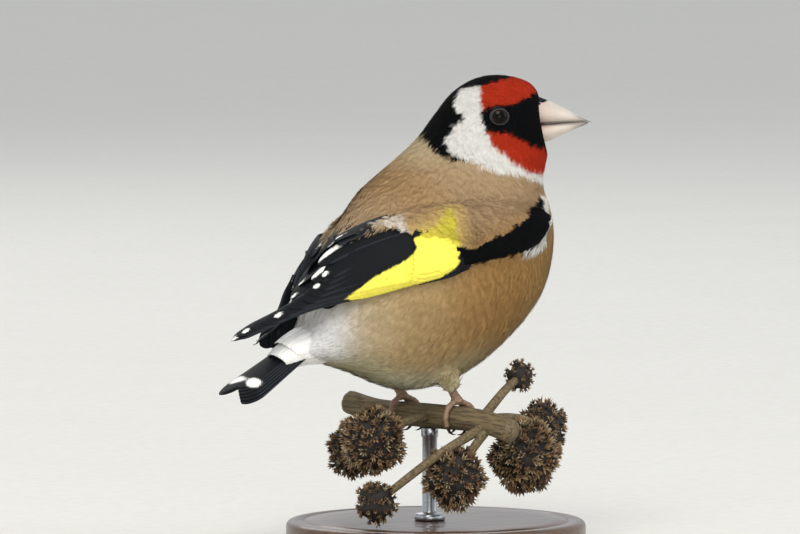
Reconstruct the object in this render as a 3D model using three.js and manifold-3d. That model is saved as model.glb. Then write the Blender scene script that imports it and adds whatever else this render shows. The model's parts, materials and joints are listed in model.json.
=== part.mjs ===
// European goldfinch, life size, gripping a cut length of a dry seed head on a display stand.
// Millimetres, +Z up, +X the way the body heads, origin at the centre of the base's underside.
import * as THREE from "three";
import { mergeVertices } from "three/addons/utils/BufferGeometryUtils.js";
import Module from "manifold-3d";

const wasm = await Module();
wasm.setup();

// Driving dimensions
const GAP = 0.3; // left between pieces that touch
const HEAD_TURN = THREE.MathUtils.degToRad(-28); // to the bird's right
const NECK_AXIS_X = 8; // the head turns about this upright line
const TURN_STARTS_Z = 70;
const TURN_ENDS_Z = 84;

const EYE_RADIUS = 2.5;
const EYE_STANDS_OUT = 0.9;
const EYE_PLACE = [14.2, 92.3]; // along the head and up, before the head is turned

const TAIL_FEATHERS_A_SIDE = 6;
const TAIL_LENGTH = 21.5; // from the coverts to the fork's longest feather
const TAIL_DROP = THREE.MathUtils.degToRad(28);
const TAIL_FEATHER_WIDTH = 7.2;
const TAIL_FORK = 3.4; // the middle feathers are this much shorter

const STEM_RADIUS = 2.6;
const FOOT_SPACING = 17;
const STEM_MIDDLE = new THREE.Vector3(-1.5, 0, 28.4);
const STEM_ALONG = new THREE.Vector3(0.26, -0.966, 0).normalize(); // towards the right foot
const STEM_FRONT = new THREE.Vector3(0.966, 0.26, 0).normalize();
const TOE_RADIUS = 0.65;
const TOE_SPREAD = 3.1;

const BASE_RADIUS = 32;
const BASE_THICKNESS = 6;
const BASE_EDGE = 1.2;
const ROD_RADIUS = 1.6;

const RIGHT = -1;
const LEFT = 1;
const SIDES = [
  ["right", RIGHT],
  ["left", LEFT],
];

// The body's outline in its own upright plane, from the bill's root to the tail's root.
// Each station has its point on the back, its point on the belly and its half width.
const STATIONS = [
  { name: "bill root", back: [22.0, 91.0], belly: [22.0, 91.0], half: 0 },
  { name: "lores", back: [23.2, 95.7], belly: [22.6, 87.0], half: 3.9 },
  { name: "forehead", back: [21.6, 99.0], belly: [24.9, 84.6], half: 5.8 },
  { name: "crown", back: [16.4, 101.0], belly: [24.5, 81.2], half: 7.5 },
  { name: "hind crown", back: [10.0, 100.7], belly: [24.2, 78.3], half: 8.8 },
  { name: "nape", back: [4.2, 97.4], belly: [24.8, 75.5], half: 9.9 },
  { name: "hind neck", back: [0.2, 92.4], belly: [26.4, 72.0], half: 11.7 },
  { name: "neck root", back: [-3.5, 87.2], belly: [27.2, 67.5], half: 14.3 },
  { name: "shoulders", back: [-9.8, 81.2], belly: [26.4, 61.0], half: 17.1 },
  { name: "mantle", back: [-17.4, 74.8], belly: [22.6, 52.6], half: 19.2 },
  { name: "back", back: [-24.2, 66.8], belly: [15.6, 45.0], half: 19.6 },
  { name: "lower back", back: [-28.0, 60.0], belly: [4.4, 37.2], half: 17.8 },
  { name: "rump", back: [-30.0, 54.0], belly: [-8.6, 34.4], half: 14.6 },
  { name: "vent", back: [-31.5, 49.3], belly: [-20.0, 38.4], half: 10.6 },
  { name: "tail coverts", back: [-35.0, 45.2], belly: [-30.0, 41.4], half: 6.0 },
  { name: "tail root", back: [-38.0, 42.0], belly: [-38.0, 42.0], half: 0 },
];

// Turns an upright section of the neck and head about the neck's axis, more with height.
function turned(point) {
  const share = THREE.MathUtils.smoothstep(point.z, TURN_STARTS_Z, TURN_ENDS_Z);
  const axis = new THREE.Vector3(NECK_AXIS_X, 0, 0);
  return point.sub(axis).applyAxisAngle(new THREE.Vector3(0, 0, 1), HEAD_TURN * share).add(axis);
}

// A closed skin over a sphere's grid: point(t, angle) gives the place for each vertex, with t
// from one pole to the other and the angle around.
function loft(rings, sides, point) {
  const geometry = new THREE.SphereGeometry(1, sides, rings);
  const grid = geometry.getAttribute("uv");
  const places = [];
  for (let i = 0; i < grid.count; i++) {
    const place = point(1 - grid.getY(i), 2 * Math.PI * grid.getX(i));
    places.push(place.x, place.y, place.z);
  }
  geometry.setAttribute("position", new THREE.Float32BufferAttribute(places, 3));
  return geometry;
}

// The shape's own vertices merged and its faces turned outwards.
function closed(geometry) {
  const bare = geometry.clone();
  bare.deleteAttribute("normal");
  bare.deleteAttribute("uv");
  const merged = mergeVertices(bare, 1e-3);
  const place = merged.getAttribute("position");
  const corners = [];
  const index = merged.index.array;
  for (let i = 0; i < index.length; i += 3) {
    const [a, b, c] = [index[i], index[i + 1], index[i + 2]];
    if (a !== b && b !== c && a !== c) corners.push(a, b, c);
  }
  const point = (i) => new THREE.Vector3().fromBufferAttribute(place, i);
  let volume = 0;
  for (let i = 0; i < corners.length; i += 3) {
    volume += point(corners[i]).dot(point(corners[i + 1]).cross(point(corners[i + 2])));
  }
  if (volume < 0) corners.reverse();
  merged.setIndex(corners);
  return merged;
}

function solid(geometry) {
  const body = closed(geometry);
  return new wasm.Manifold(
    new wasm.Mesh({
      numProp: 3,
      vertProperties: body.getAttribute("position").array,
      triVerts: new Uint32Array(body.index.array),
    }),
  );
}

// The same shape with every face moved out, to cut a neighbour with room to spare.
function grown(geometry, by = GAP) {
  const body = closed(geometry);
  body.computeVertexNormals();
  const place = body.getAttribute("position");
  const normal = body.getAttribute("normal");
  for (let i = 0; i < place.count; i++) {
    place.setXYZ(
      i,
      place.getX(i) + by * normal.getX(i),
      place.getY(i) + by * normal.getY(i),
      place.getZ(i) + by * normal.getZ(i),
    );
  }
  return solid(body);
}

function lineThrough(points) {
  return new THREE.CatmullRomCurve3(points.map(([x, z]) => new THREE.Vector3(x, 0, z)));
}

const backLine = lineThrough(STATIONS.map((station) => station.back));
const bellyLine = lineThrough(STATIONS.map((station) => station.belly));
const widthLine = lineThrough(STATIONS.map((station, i) => [i, station.half]));

function bodyPoint(t, angle) {
  const back = backLine.getPoint(t);
  const belly = bellyLine.getPoint(t);
  const place = back.clone().add(belly).multiplyScalar(0.5);
  place.addScaledVector(back.sub(belly).multiplyScalar(0.5), Math.cos(angle));
  place.y = widthLine.getPoint(t).z * Math.sin(angle);
  return turned(place);
}

// A section between an upper and a lower line, standing out sideways by reach(t, way).
function slab(upper, lower, reach, rings, sides) {
  return loft(rings, sides, (t, angle) => {
    const top = upper.getPoint(t);
    const across = top.clone().sub(lower.getPoint(t));
    const middle = top.addScaledVector(across, -0.5);
    const ahead = upper.getPoint(Math.min(1, t + 0.02)).sub(upper.getPoint(Math.max(0, t - 0.02)));
    const out = ahead.cross(across).normalize();
    const rounding = Math.sqrt(Math.min(1, Math.max(0, Math.min(t, 1 - t)) / 0.04));
    const thickness = t < 1e-6 || t > 1 - 1e-6 ? 0 : rounding * reach(t, Math.sign(Math.sin(angle)));
    return middle
      .addScaledVector(across, 0.5 * Math.cos(angle))
      .addScaledVector(out, thickness * Math.sin(angle));
  });
}

// A round bar with closed ends along a curve, its radius from first to last.
function bar(points, first, last, rings = 10, sides = 10) {
  const curve = new THREE.CatmullRomCurve3(points);
  return loft(rings, sides, (t, angle) => {
    const share = THREE.MathUtils.clamp((t - 1 / rings) / (1 - 2 / rings), 0, 1);
    const tangent = curve.getTangent(share);
    const side = new THREE.Vector3(0, 0, 1).cross(tangent);
    if (side.length() < 0.2) side.set(0, 1, 0).cross(tangent);
    side.normalize();
    const up = tangent.clone().cross(side);
    const radius = t <= 0 || t >= 1 ? 0 : THREE.MathUtils.lerp(first, last, share);
    return curve
      .getPoint(share)
      .addScaledVector(side, radius * Math.cos(angle))
      .addScaledVector(up, radius * Math.sin(angle));
  });
}

function mirrored(points, side) {
  return points.map(([x, y, z]) => new THREE.Vector3(x, side === RIGHT ? y : -y, z));
}

// Keeps what lies on the side of the plane that its normal points to.
function keepBeyond(shape, point, normal, gap = GAP / 2) {
  const way = normal.clone().normalize();
  return shape.trimByPlane(way.toArray(), way.dot(point) + gap);
}

function largestOf(shape) {
  return shape.decompose().sort((a, b) => b.volume() - a.volume())[0];
}

const bird = new THREE.Group();

function piece(name, shape, material) {
  const mesh = shape.getMesh();
  const geometry = new THREE.BufferGeometry();
  geometry.setAttribute("position", new THREE.BufferAttribute(mesh.vertProperties, 3));
  geometry.setIndex(new THREE.BufferAttribute(mesh.triVerts, 1));
  const made = new THREE.Mesh(geometry, material);
  made.name = name;
  bird.add(made);
}

const finish = (color, roughness, metalness = 0) =>
  new THREE.MeshStandardMaterial({ color, roughness, metalness });
const brownPlumage = finish(0x9a7a58, 0.9);
const facePlumage = finish(0xa32a1c, 0.9);
const collarPlumage = finish(0xd9cfc0, 0.9);
const blackPlumage = finish(0x17171a, 0.75);
const horn = finish(0xd8bfb4, 0.45);
const eyeGloss = finish(0x120c0a, 0.08);
const legSkin = finish(0xa9836f, 0.6);
const clawHorn = finish(0x3a2c26, 0.45);
const dryStem = finish(0x6b4a2e, 0.85);
const drySeed = finish(0x5a4030, 0.95);
const wood = finish(0x4a2c1a, 0.4);
const steel = finish(0x8d9095, 0.35, 1);

// Trunk, neck and head: one closed form, parted by two thin cuts.
const body = loft(36, 26, bodyPoint);
const bodyRoom = grown(body);
const wingRoom = grown(loft(24, 20, bodyPoint), 0.55); // fewer faces, so grown a little more

const HEAD_CUT = turned(new THREE.Vector3(12, 0, 85.4));
const HEAD_CUT_WAY = new THREE.Vector3(0.4, -0.18, 0.9);
const NECK_CUT = new THREE.Vector3(10, 0, 76.6);
const NECK_CUT_WAY = new THREE.Vector3(0.42, -0.05, 0.9);

function addBody() {
  const whole = solid(body);
  const aboveNeck = keepBeyond(whole, NECK_CUT, NECK_CUT_WAY);
  const trunk = keepBeyond(whole, NECK_CUT, NECK_CUT_WAY.clone().negate());
  const neck = keepBeyond(aboveNeck, HEAD_CUT, HEAD_CUT_WAY.clone().negate());
  let head = keepBeyond(aboveNeck, HEAD_CUT, HEAD_CUT_WAY);
  for (const [, side] of SIDES) head = head.subtract(grown(eyeBall(side)));
  piece("head", head, facePlumage);
  piece("neck", neck, collarPlumage);
  piece("trunk", trunk, brownPlumage);
}

// The body's half width where a line across it at (x, z) leaves it, on the head before it is turned.
function halfWidthAt(x, z) {
  let best = 0;
  for (let i = 0; i <= 200; i++) {
    const back = backLine.getPoint(i / 200);
    const belly = bellyLine.getPoint(i / 200);
    const across = back.clone().sub(belly).multiplyScalar(0.5);
    const offset = new THREE.Vector3(x, 0, z).sub(back).add(across);
    const along = offset.dot(across) / across.lengthSq();
    const miss = offset.addScaledVector(across, -along).length();
    if (Math.abs(along) < 1 && miss < 0.4) {
      best = Math.max(best, widthLine.getPoint(i / 200).z * Math.sqrt(1 - along * along));
    }
  }
  return best;
}

function eyeBall(side) {
  const [x, z] = EYE_PLACE;
  const y = side * (halfWidthAt(x, z) + EYE_STANDS_OUT - EYE_RADIUS);
  const place = turned(new THREE.Vector3(x, y, z));
  return new THREE.SphereGeometry(EYE_RADIUS, 12, 8).translate(place.x, place.y, place.z);
}

function addEyes() {
  for (const [name, side] of SIDES) piece("eye_" + name, solid(eyeBall(side)), eyeGloss);
}

// Each half of the bill: outline on top, outline below and half width, from the root to the tip.
const UPPER_BILL = {
  top: [[19.5, 93.4], [22.0, 96.0], [24.4, 95.4], [27.6, 94.2], [30.8, 92.4], [34.1, 90.85]],
  below: [[19.5, 93.4], [22.0, 90.5], [24.4, 90.6], [27.6, 90.8], [30.8, 90.95], [34.1, 90.85]],
  half: [0, 3.5, 3.3, 2.4, 1.35, 0],
};
const LOWER_BILL = {
  top: [[19.5, 88.6], [22.0, 90.1], [25.0, 90.25], [27.8, 90.4], [30.8, 90.55], [33.4, 90.5]],
  below: [[19.5, 88.6], [22.0, 86.6], [25.0, 86.9], [27.8, 88.0], [30.8, 89.4], [33.4, 90.5]],
  half: [0, 3.2, 2.9, 2.1, 1.1, 0],
};

function billHalf({ top, below, half }) {
  const topLine = lineThrough(top);
  const belowLine = lineThrough(below);
  const halfLine = lineThrough(half.map((width, i) => [i, width]));
  return loft(10, 12, (t, angle) => {
    const upper = topLine.getPoint(t);
    const across = upper.clone().sub(belowLine.getPoint(t)).multiplyScalar(0.5);
    const place = upper.sub(across).addScaledVector(across, Math.cos(angle));
    place.y = halfLine.getPoint(t).z * Math.sin(angle);
    return turned(place);
  });
}

function addBill() {
  const upper = billHalf(UPPER_BILL);
  piece("bill_upper", largestOf(solid(upper).subtract(bodyRoom)), horn);
  const lower = solid(billHalf(LOWER_BILL)).subtract(bodyRoom).subtract(grown(upper));
  piece("bill_lower", largestOf(lower), horn);
}

// The folded right wing's two edges, from the shoulder to the tip of the primaries.
const WING_UPPER_EDGE = [
  [21.0, -11.6, 70.8],
  [15.5, -14.8, 73.6],
  [5.5, -16.4, 74.4],
  [-5.0, -15.0, 74.2],
  [-14.0, -11.2, 72.6],
  [-20.6, -6.8, 70.0],
  [-25.4, -2.8, 66.2],
  [-28.8, -1.4, 61.6],
  [-33.4, -1.4, 57.2],
  [-40.0, -1.7, 52.6],
  [-46.0, -2.2, 49.0],
  [-50.8, -2.8, 46.1],
];
const WING_LOWER_EDGE = [
  [21.0, -11.6, 70.8],
  [18.2, -15.0, 66.4],
  [9.8, -18.6, 63.6],
  [0.0, -20.4, 62.0],
  [-9.0, -20.2, 60.0],
  [-18.0, -17.4, 57.6],
  [-26.0, -13.2, 55.0],
  [-32.0, -10.0, 52.8],
  [-38.0, -7.4, 50.6],
  [-43.0, -5.6, 48.8],
  [-47.5, -4.2, 47.2],
  [-50.8, -2.8, 46.1],
];
const WING_FULLNESS = 3.1; // how far the folded wing stands out over the body
const WING_TIP_THICKNESS = 0.6;
const WING_ROOT_DEPTH = 4;
const COVERTS_END = new THREE.Vector3(-4, -18, 66);
const SECONDARIES_END = new THREE.Vector3(-31.5, -6, 56);
const WING_WAY = new THREE.Vector3(-0.93, 0, -0.36);

// The left wing hangs a little lower than the right one, and its tip ends under the right tip.
function hung(point, side) {
  if (side === RIGHT) return point;
  const rear = THREE.MathUtils.smoothstep(-point.x, 0, 30);
  const tip = THREE.MathUtils.smoothstep(-point.x, 22, 50);
  point.x += 8 * tip;
  point.y += 1.6 * rear * (1 - tip);
  point.z += 1.0 * tip - 2.6 * rear;
  return point;
}

function wing(side) {
  const edge = (points) =>
    new THREE.CatmullRomCurve3(mirrored(points, side).map((point) => hung(point, side)));
  const upper = edge(WING_UPPER_EDGE);
  const lower = edge(WING_LOWER_EDGE);
  const reach = (t, way) => {
    const slim = THREE.MathUtils.smoothstep(t, 0.5, 0.86);
    const outside = (side === RIGHT ? 1 : -1) * way < 0;
    const full = outside ? WING_FULLNESS : WING_ROOT_DEPTH;
    return THREE.MathUtils.lerp(full, WING_TIP_THICKNESS, slim);
  };
  return slab(upper, lower, reach, 24, 10);
}

function addWings() {
  const middle = new THREE.Vector3(0, 0, 0);
  for (const [name, side] of SIDES) {
    const free = largestOf(solid(wing(side)).subtract(wingRoom));
    const whole = keepBeyond(free, middle, new THREE.Vector3(0, side, 0));
    const back = WING_WAY.clone();
    const front = back.clone().negate();
    const behindCoverts = keepBeyond(whole, COVERTS_END, back);
    const parts = {
      coverts: keepBeyond(whole, COVERTS_END, front),
      secondaries: keepBeyond(behindCoverts, SECONDARIES_END, front),
      primaries: keepBeyond(behindCoverts, SECONDARIES_END, back),
    };
    for (const [part, shape] of Object.entries(parts)) {
      piece(`wing_${name}_${part}`, largestOf(shape), blackPlumage);
    }
  }
}

// One tail feather's outline, from its root to its slanting tip.
function tailFeather(length, width) {
  const shape = new THREE.Shape();
  shape.moveTo(0, -0.22 * width);
  shape.quadraticCurveTo(0.5 * length, -0.5 * width, 0.9 * length, -0.5 * width);
  shape.quadraticCurveTo(length + 0.2, -0.45 * width, length, 0.05 * width);
  shape.quadraticCurveTo(0.98 * length, 0.46 * width, 0.88 * length, 0.47 * width);
  shape.quadraticCurveTo(0.5 * length, 0.45 * width, 0, 0.22 * width);
  return new THREE.ExtrudeGeometry(shape, { depth: 0.6, bevelEnabled: false, curveSegments: 2 });
}

function addTail() {
  const root = new THREE.Vector3(-27.5, 0, 47.4);
  const buried = 3.5;
  let tail = null;
  for (const [, side] of SIDES) {
    for (let i = 0; i < TAIL_FEATHERS_A_SIDE; i++) {
      const outward = (i + 0.5) / TAIL_FEATHERS_A_SIDE;
      const length = TAIL_LENGTH + buried - TAIL_FORK * (1 - outward);
      const feather = tailFeather(length, TAIL_FEATHER_WIDTH)
        .scale(1, side, 1)
        .rotateZ(side * 0.19 * outward)
        .translate(0, side * 1.4 * outward, -2.4 * outward)
        .rotateX(side * 0.28 * outward)
        .rotateY(TAIL_DROP)
        .rotateZ(Math.PI)
        .translate(root.x, root.y, root.z);
      const blade = solid(feather);
      tail = tail ? tail.add(blade) : blade;
    }
  }
  piece("tail", largestOf(tail.subtract(bodyRoom)), blackPlumage);
}

function footPlace(side) {
  return STEM_MIDDLE.clone().addScaledVector(STEM_ALONG, (-side * FOOT_SPACING) / 2);
}

// A point round the stem under a foot: angle 90 degrees is on top and 0 in front.
function roundStem(side, degrees, along, radius) {
  const angle = THREE.MathUtils.degToRad(degrees);
  return footPlace(side)
    .addScaledVector(STEM_ALONG, along)
    .addScaledVector(STEM_FRONT, radius * Math.cos(angle))
    .add(new THREE.Vector3(0, 0, radius * Math.sin(angle)));
}

// Three toes reach over the front of the stem and one grips it from behind.
const TOES = [
  { spread: -1, ends: -28 },
  { spread: 0, ends: -38 },
  { spread: 1, ends: -28 },
  { spread: 0.1, ends: 206 },
];

function toePath(side, toe, from, to, radius) {
  const steps = 6;
  return Array.from({ length: steps + 1 }, (_, i) => {
    const degrees = THREE.MathUtils.lerp(from, to, i / steps);
    const out = Math.abs(degrees - 90) / Math.abs(toe.ends - 90);
    return roundStem(side, degrees, toe.spread * TOE_SPREAD * Math.min(1.1, out), radius);
  });
}

function alongStem(distance, lift = 0) {
  return STEM_MIDDLE.clone().addScaledVector(STEM_ALONG, distance).add(new THREE.Vector3(0, 0, lift));
}

// The stem bends a little towards its ends and is straight under the feet.
function stemBar() {
  const line = [[-27, 1.6], [-18, 0.3], [-12, 0], [-5, 0], [5, 0], [12, 0], [18, -0.4], [27, -2.2]];
  return bar(line.map(([distance, lift]) => alongStem(distance, lift)), STEM_RADIUS, STEM_RADIUS, 12, 10);
}

function addLegs() {
  const stemRoom = grown(stemBar());
  for (const [name, side] of SIDES) {
    const foot = footPlace(side);
    const pad = foot.clone().add(new THREE.Vector3(0, 0, STEM_RADIUS + GAP + 0.95));
    const thigh = bar(
      [new THREE.Vector3(pad.x - 8, side * 9.6, 46), new THREE.Vector3(pad.x - 1.4, side * 8.9, 35.6)],
      5.6,
      2.0,
      6,
      10,
    );
    const shank = bar([new THREE.Vector3(pad.x - 4.5, side * 9.2, 39), pad.clone()], 1.0, 0.95, 5, 8);
    const sole = new THREE.SphereGeometry(1, 8, 6).scale(1.35, 1.35, 0.8).translate(...pad.toArray());
    piece("thigh_" + name, largestOf(solid(thigh).subtract(bodyRoom)), brownPlumage);
    const bare = solid(shank).subtract(bodyRoom).subtract(grown(thigh)).subtract(grown(sole));
    piece("tarsus_" + name, largestOf(bare), legSkin);

    const reach = STEM_RADIUS + GAP + TOE_RADIUS;
    let toes = solid(sole);
    TOES.forEach((toe, i) => {
      const starts = toe.ends > 90 ? 100 : 80;
      const path = toePath(side, toe, starts, toe.ends, reach);
      toes = toes.add(solid(bar(path, TOE_RADIUS, 0.8 * TOE_RADIUS, 7, 6)));
      const way = Math.sign(toe.ends - 90);
      const claw = toePath(side, toe, toe.ends + way * 9, toe.ends + way * 52, reach - 0.05);
      const horny = solid(bar(claw, 0.42, 0.12, 5, 5)).subtract(stemRoom);
      piece(`claw_${name}_${i + 1}`, largestOf(horny), clawHorn);
    });
    piece("foot_" + name, largestOf(toes.subtract(stemRoom)), legSkin);
  }
}

// The seed heads on the perch: middle, radius and where on the stem their stalk leaves it.
const SEED_HEADS = [
  { at: [-17.6, -4.6, 24.2], radius: 7.0, leaves: 1 },
  { at: [-20.4, -11.4, 11.6], radius: 4.6, leaves: 18.5 },
  { at: [-4.0, -15.6, 16.6], radius: 6.6, leaves: 19 },
  { at: [13.0, -15.6, 20.6], radius: 7.6, leaves: 16.5 },
  { at: [14.6, -10.6, 37.0], radius: 3.2, leaves: 15.5 },
  { at: [22.6, -6.0, 25.4], radius: 5.6, leaves: 14.5 },
  { at: [-10.5, 17.5, 20.0], radius: 6.0, leaves: -15 },
];

function addPerch() {
  let stem = solid(stemBar());
  stem = keepBeyond(stem, alongStem(-25), STEM_ALONG, 0);
  stem = keepBeyond(stem, alongStem(25), STEM_ALONG.clone().negate(), 0);
  const stalks = SEED_HEADS.map(({ at, leaves }) => {
    const end = new THREE.Vector3(...at);
    const start = alongStem(leaves);
    const bend = start.clone().lerp(end, 0.5).add(new THREE.Vector3(0, -1.5, 1.5));
    return bar([start, bend, end], 1.1, 0.8, 5, 6);
  });
  for (const stalk of stalks) stem = stem.add(solid(stalk));
  piece("perch_stem", stem, dryStem);
  SEED_HEADS.forEach(({ at, radius }, i) => {
    const lump = loft(8, 10, (t, angle) => {
      const rise = Math.PI * t;
      const rough = 1 + 0.09 * Math.sin(3 * angle + 5 * rise + i) * Math.sin(rise) + 0.07 * Math.cos(6 * rise + i);
      const out = radius * rough;
      return new THREE.Vector3(
        at[0] + out * Math.sin(rise) * Math.cos(angle),
        at[1] + out * Math.sin(rise) * Math.sin(angle),
        at[2] + 1.1 * out * Math.cos(rise),
      );
    });
    let head = solid(lump);
    for (const stalk of stalks) head = head.subtract(grown(stalk));
    head = head.subtract(grown(stemBar()));
    piece(`perch_seed_head_${i + 1}`, largestOf(head), drySeed);
  });
}

function addStand() {
  const edge = BASE_EDGE;
  const profile = [
    [0, 0],
    [BASE_RADIUS - 0.5, 0],
    [BASE_RADIUS, 0.5],
    [BASE_RADIUS, BASE_THICKNESS - edge],
    [BASE_RADIUS - 0.35 * edge, BASE_THICKNESS - 0.35 * edge],
    [BASE_RADIUS - edge, BASE_THICKNESS],
    [0, BASE_THICKNESS],
  ].map(([x, y]) => new THREE.Vector2(x, y));
  const base = new THREE.LatheGeometry(profile, 40).rotateX(Math.PI / 2);
  piece("stand_base", solid(base), wood);
  const top = STEM_MIDDLE.z - STEM_RADIUS - GAP;
  const height = top - BASE_THICKNESS - GAP;
  const rod = new THREE.CylinderGeometry(ROD_RADIUS, ROD_RADIUS, height, 24)
    .rotateX(Math.PI / 2)
    .translate(STEM_MIDDLE.x, STEM_MIDDLE.y, BASE_THICKNESS + GAP + height / 2);
  piece("stand_rod", solid(rod), steel);
}

addBody();
addEyes();
addBill();
addWings();
addTail();
addLegs();
addPerch();
addStand();

export default bird;
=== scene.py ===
"""A life-size european goldfinch gripping a cut length of a dry seed head on a display stand."""

import json
import logging
import math
from dataclasses import dataclass
from enum import Enum

import bmesh
import bpy
import numpy as np
from mathutils import Matrix, Vector
from mathutils.kdtree import KDTree

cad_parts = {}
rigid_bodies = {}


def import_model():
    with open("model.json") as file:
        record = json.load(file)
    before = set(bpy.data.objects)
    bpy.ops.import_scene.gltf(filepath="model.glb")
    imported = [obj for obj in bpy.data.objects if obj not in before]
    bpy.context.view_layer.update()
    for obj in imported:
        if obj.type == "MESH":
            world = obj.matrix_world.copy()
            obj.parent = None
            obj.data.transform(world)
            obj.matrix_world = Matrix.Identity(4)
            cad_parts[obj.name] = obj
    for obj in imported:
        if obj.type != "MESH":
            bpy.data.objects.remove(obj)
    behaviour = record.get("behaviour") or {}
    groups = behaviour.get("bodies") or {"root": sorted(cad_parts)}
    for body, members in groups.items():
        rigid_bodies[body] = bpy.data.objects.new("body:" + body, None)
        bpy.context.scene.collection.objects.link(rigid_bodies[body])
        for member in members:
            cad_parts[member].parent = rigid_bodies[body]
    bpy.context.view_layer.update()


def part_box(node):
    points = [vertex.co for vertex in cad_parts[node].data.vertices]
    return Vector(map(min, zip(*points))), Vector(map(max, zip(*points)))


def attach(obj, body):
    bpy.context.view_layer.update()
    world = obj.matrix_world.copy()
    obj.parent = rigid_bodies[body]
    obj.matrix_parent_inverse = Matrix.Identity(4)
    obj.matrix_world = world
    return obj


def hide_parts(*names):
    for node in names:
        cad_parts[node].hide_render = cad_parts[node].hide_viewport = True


log = logging.getLogger("goldfinch")

# Lengths are millimetres here, as in the solids, and metres in Blender's own data.
MM = 0.001
# The photograph looks at the bird's right side, from this far behind its square and above it.
VIEW_YAW = math.radians(28)
VIEW_LIFT = math.radians(4)

Array = np.ndarray
Pair = tuple[float, float]
Colour = tuple[float, float, float]
Place = tuple[float, float, float]
Outline = tuple[Pair, ...]
Rows = tuple[tuple[float, ...], ...]
Faces = list[tuple[int, ...]]
Part = tuple[Array, Faces]
Variants = bpy.types.Collection
Piece = bpy.types.Object
Mesh = bpy.types.Mesh
Material = bpy.types.Material
Tree = bpy.types.NodeTree
Node = bpy.types.Node
Socket = bpy.types.NodeSocket


class Side(Enum):
    """The two sides of the bird, with the sign of Y there."""

    RIGHT = -1
    LEFT = 1

    @property
    def label(self) -> str:
        """The side's name as the nodes spell it."""
        return self.name.lower()


class Tract(Enum):
    """The parts of the plumage, each made as its own piece."""

    HEAD = "coat_head"
    NECK = "coat_neck"
    MANTLE = "coat_mantle"
    BREAST = "coat_breast"
    BELLY = "coat_belly"
    REAR = "coat_rear"
    SHOULDER = "coat_shoulder"


# Numbers on arrays


def colour(code: int) -> Colour:
    """Turns a display colour such as 0xC14E32 into its three linear parts."""
    parts = ((code >> shift & 255) / 255 for shift in (16, 8, 0))
    return tuple(p / 12.92 if p <= 0.04045 else ((p + 0.055) / 1.055) ** 2.4 for p in parts)


def smooth(value: Array, low: float, high: float) -> Array:
    """Rises smoothly from 0 at low to 1 at high."""
    share = np.clip((value - low) / (high - low), 0, 1)
    return share * share * (3 - 2 * share)


def unit(vectors: Array) -> Array:
    """Gives each row the length 1."""
    return vectors / np.maximum(np.linalg.norm(vectors, axis=-1, keepdims=True), 1e-12)


def shares(count: int) -> Array:
    """Gives evenly spaced shares from 0 to 1."""
    return np.linspace(0, 1, count)


def circle(sides: int) -> Array:
    """Gives evenly spaced turns round a full circle."""
    return np.linspace(0, 2 * np.pi, sides, endpoint=False)


def crossed(rows: Array, columns: Array) -> tuple[Array, Array]:
    """Pairs each row's value with each column's, row after row."""
    return np.repeat(rows, len(columns)), np.tile(columns, len(rows))


def globe(rings: int, sides: int) -> tuple[Array, Array]:
    """Gives each vertex of a ball its bend from the upper pole and its turn, the poles last."""
    bend, turn = crossed(np.linspace(0, np.pi, rings + 2)[1:-1], circle(sides))
    return np.append(bend, [0, np.pi]), np.append(turn, [0, 0])


def run_along(path: Array) -> Array:
    """Gives how far along a path each of its points lies."""
    return np.append(0, np.cumsum(np.linalg.norm(np.diff(path, axis=0), axis=1)))


def spline(points: Array, at: Array) -> Array:
    """Runs a centripetal Catmull-Rom curve through the points.

    Args:
        points: The curve's points, one a row.
        at: Shares of the way along, from 0 to 1.

    Returns:
        One point a share.
    """
    points = np.asarray(points, float)
    place = (len(points) - 1) * np.clip(np.asarray(at, float), 0, 1)
    i = np.minimum(place.astype(int), len(points) - 2)
    w = (place - i)[:, None]
    ends = np.vstack([2 * points[0] - points[1], points, 2 * points[-1] - points[-2]])
    p0, p1, p2, p3 = ends[i], ends[i + 1], ends[i + 2], ends[i + 3]
    d0, d1, d2 = (((a - b) ** 2).sum(1, keepdims=True) ** 0.25 for a, b in ((p0, p1), (p1, p2), (p2, p3)))
    d1 = np.where(d1 < 1e-4, 1, d1)
    d0, d2 = np.where(d0 < 1e-4, d1, d0), np.where(d2 < 1e-4, d1, d2)
    m1 = ((p1 - p0) / d0 - (p2 - p0) / (d0 + d1) + (p2 - p1) / d1) * d1
    m2 = ((p2 - p1) / d1 - (p3 - p1) / (d1 + d2) + (p3 - p2) / d2) * d1
    return p1 + m1 * w + (3 * (p2 - p1) - 2 * m1 - m2) * w**2 + (2 * (p1 - p2) + m1 + m2) * w**3


def edge_distance(outline: Array, points: Array) -> Array:
    """Measures how deep each point lies inside a closed outline.

    Args:
        outline: The outline's corners, two numbers a row.
        points: The points to test, two numbers a row.

    Returns:
        The distance to the outline, positive inside it.
    """
    outline = np.asarray(outline, float)
    inside = np.zeros(len(points), bool)
    nearest = np.full(len(points), 1e9)
    for a, b in zip(outline, np.roll(outline, -1, 0)):
        run = b - a
        share = np.clip(((points - a) @ run) / (run @ run), 0, 1)
        nearest = np.minimum(nearest, np.linalg.norm(points - a - share[:, None] * run, axis=1))
        crosses = (a[1] > points[:, 1]) != (b[1] > points[:, 1])
        if a[1] != b[1]:
            at = a[0] + (points[:, 1] - a[1]) * run[0] / run[1]
            inside ^= crosses & (points[:, 0] < at)
    return np.where(inside, nearest, -nearest)


# Meshes


def placed(name: str, data: bpy.types.ID) -> Piece:
    """Makes an object of its data and links it to the scene."""
    made = bpy.data.objects.new(name, data)
    bpy.context.collection.objects.link(made)
    return made


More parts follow.
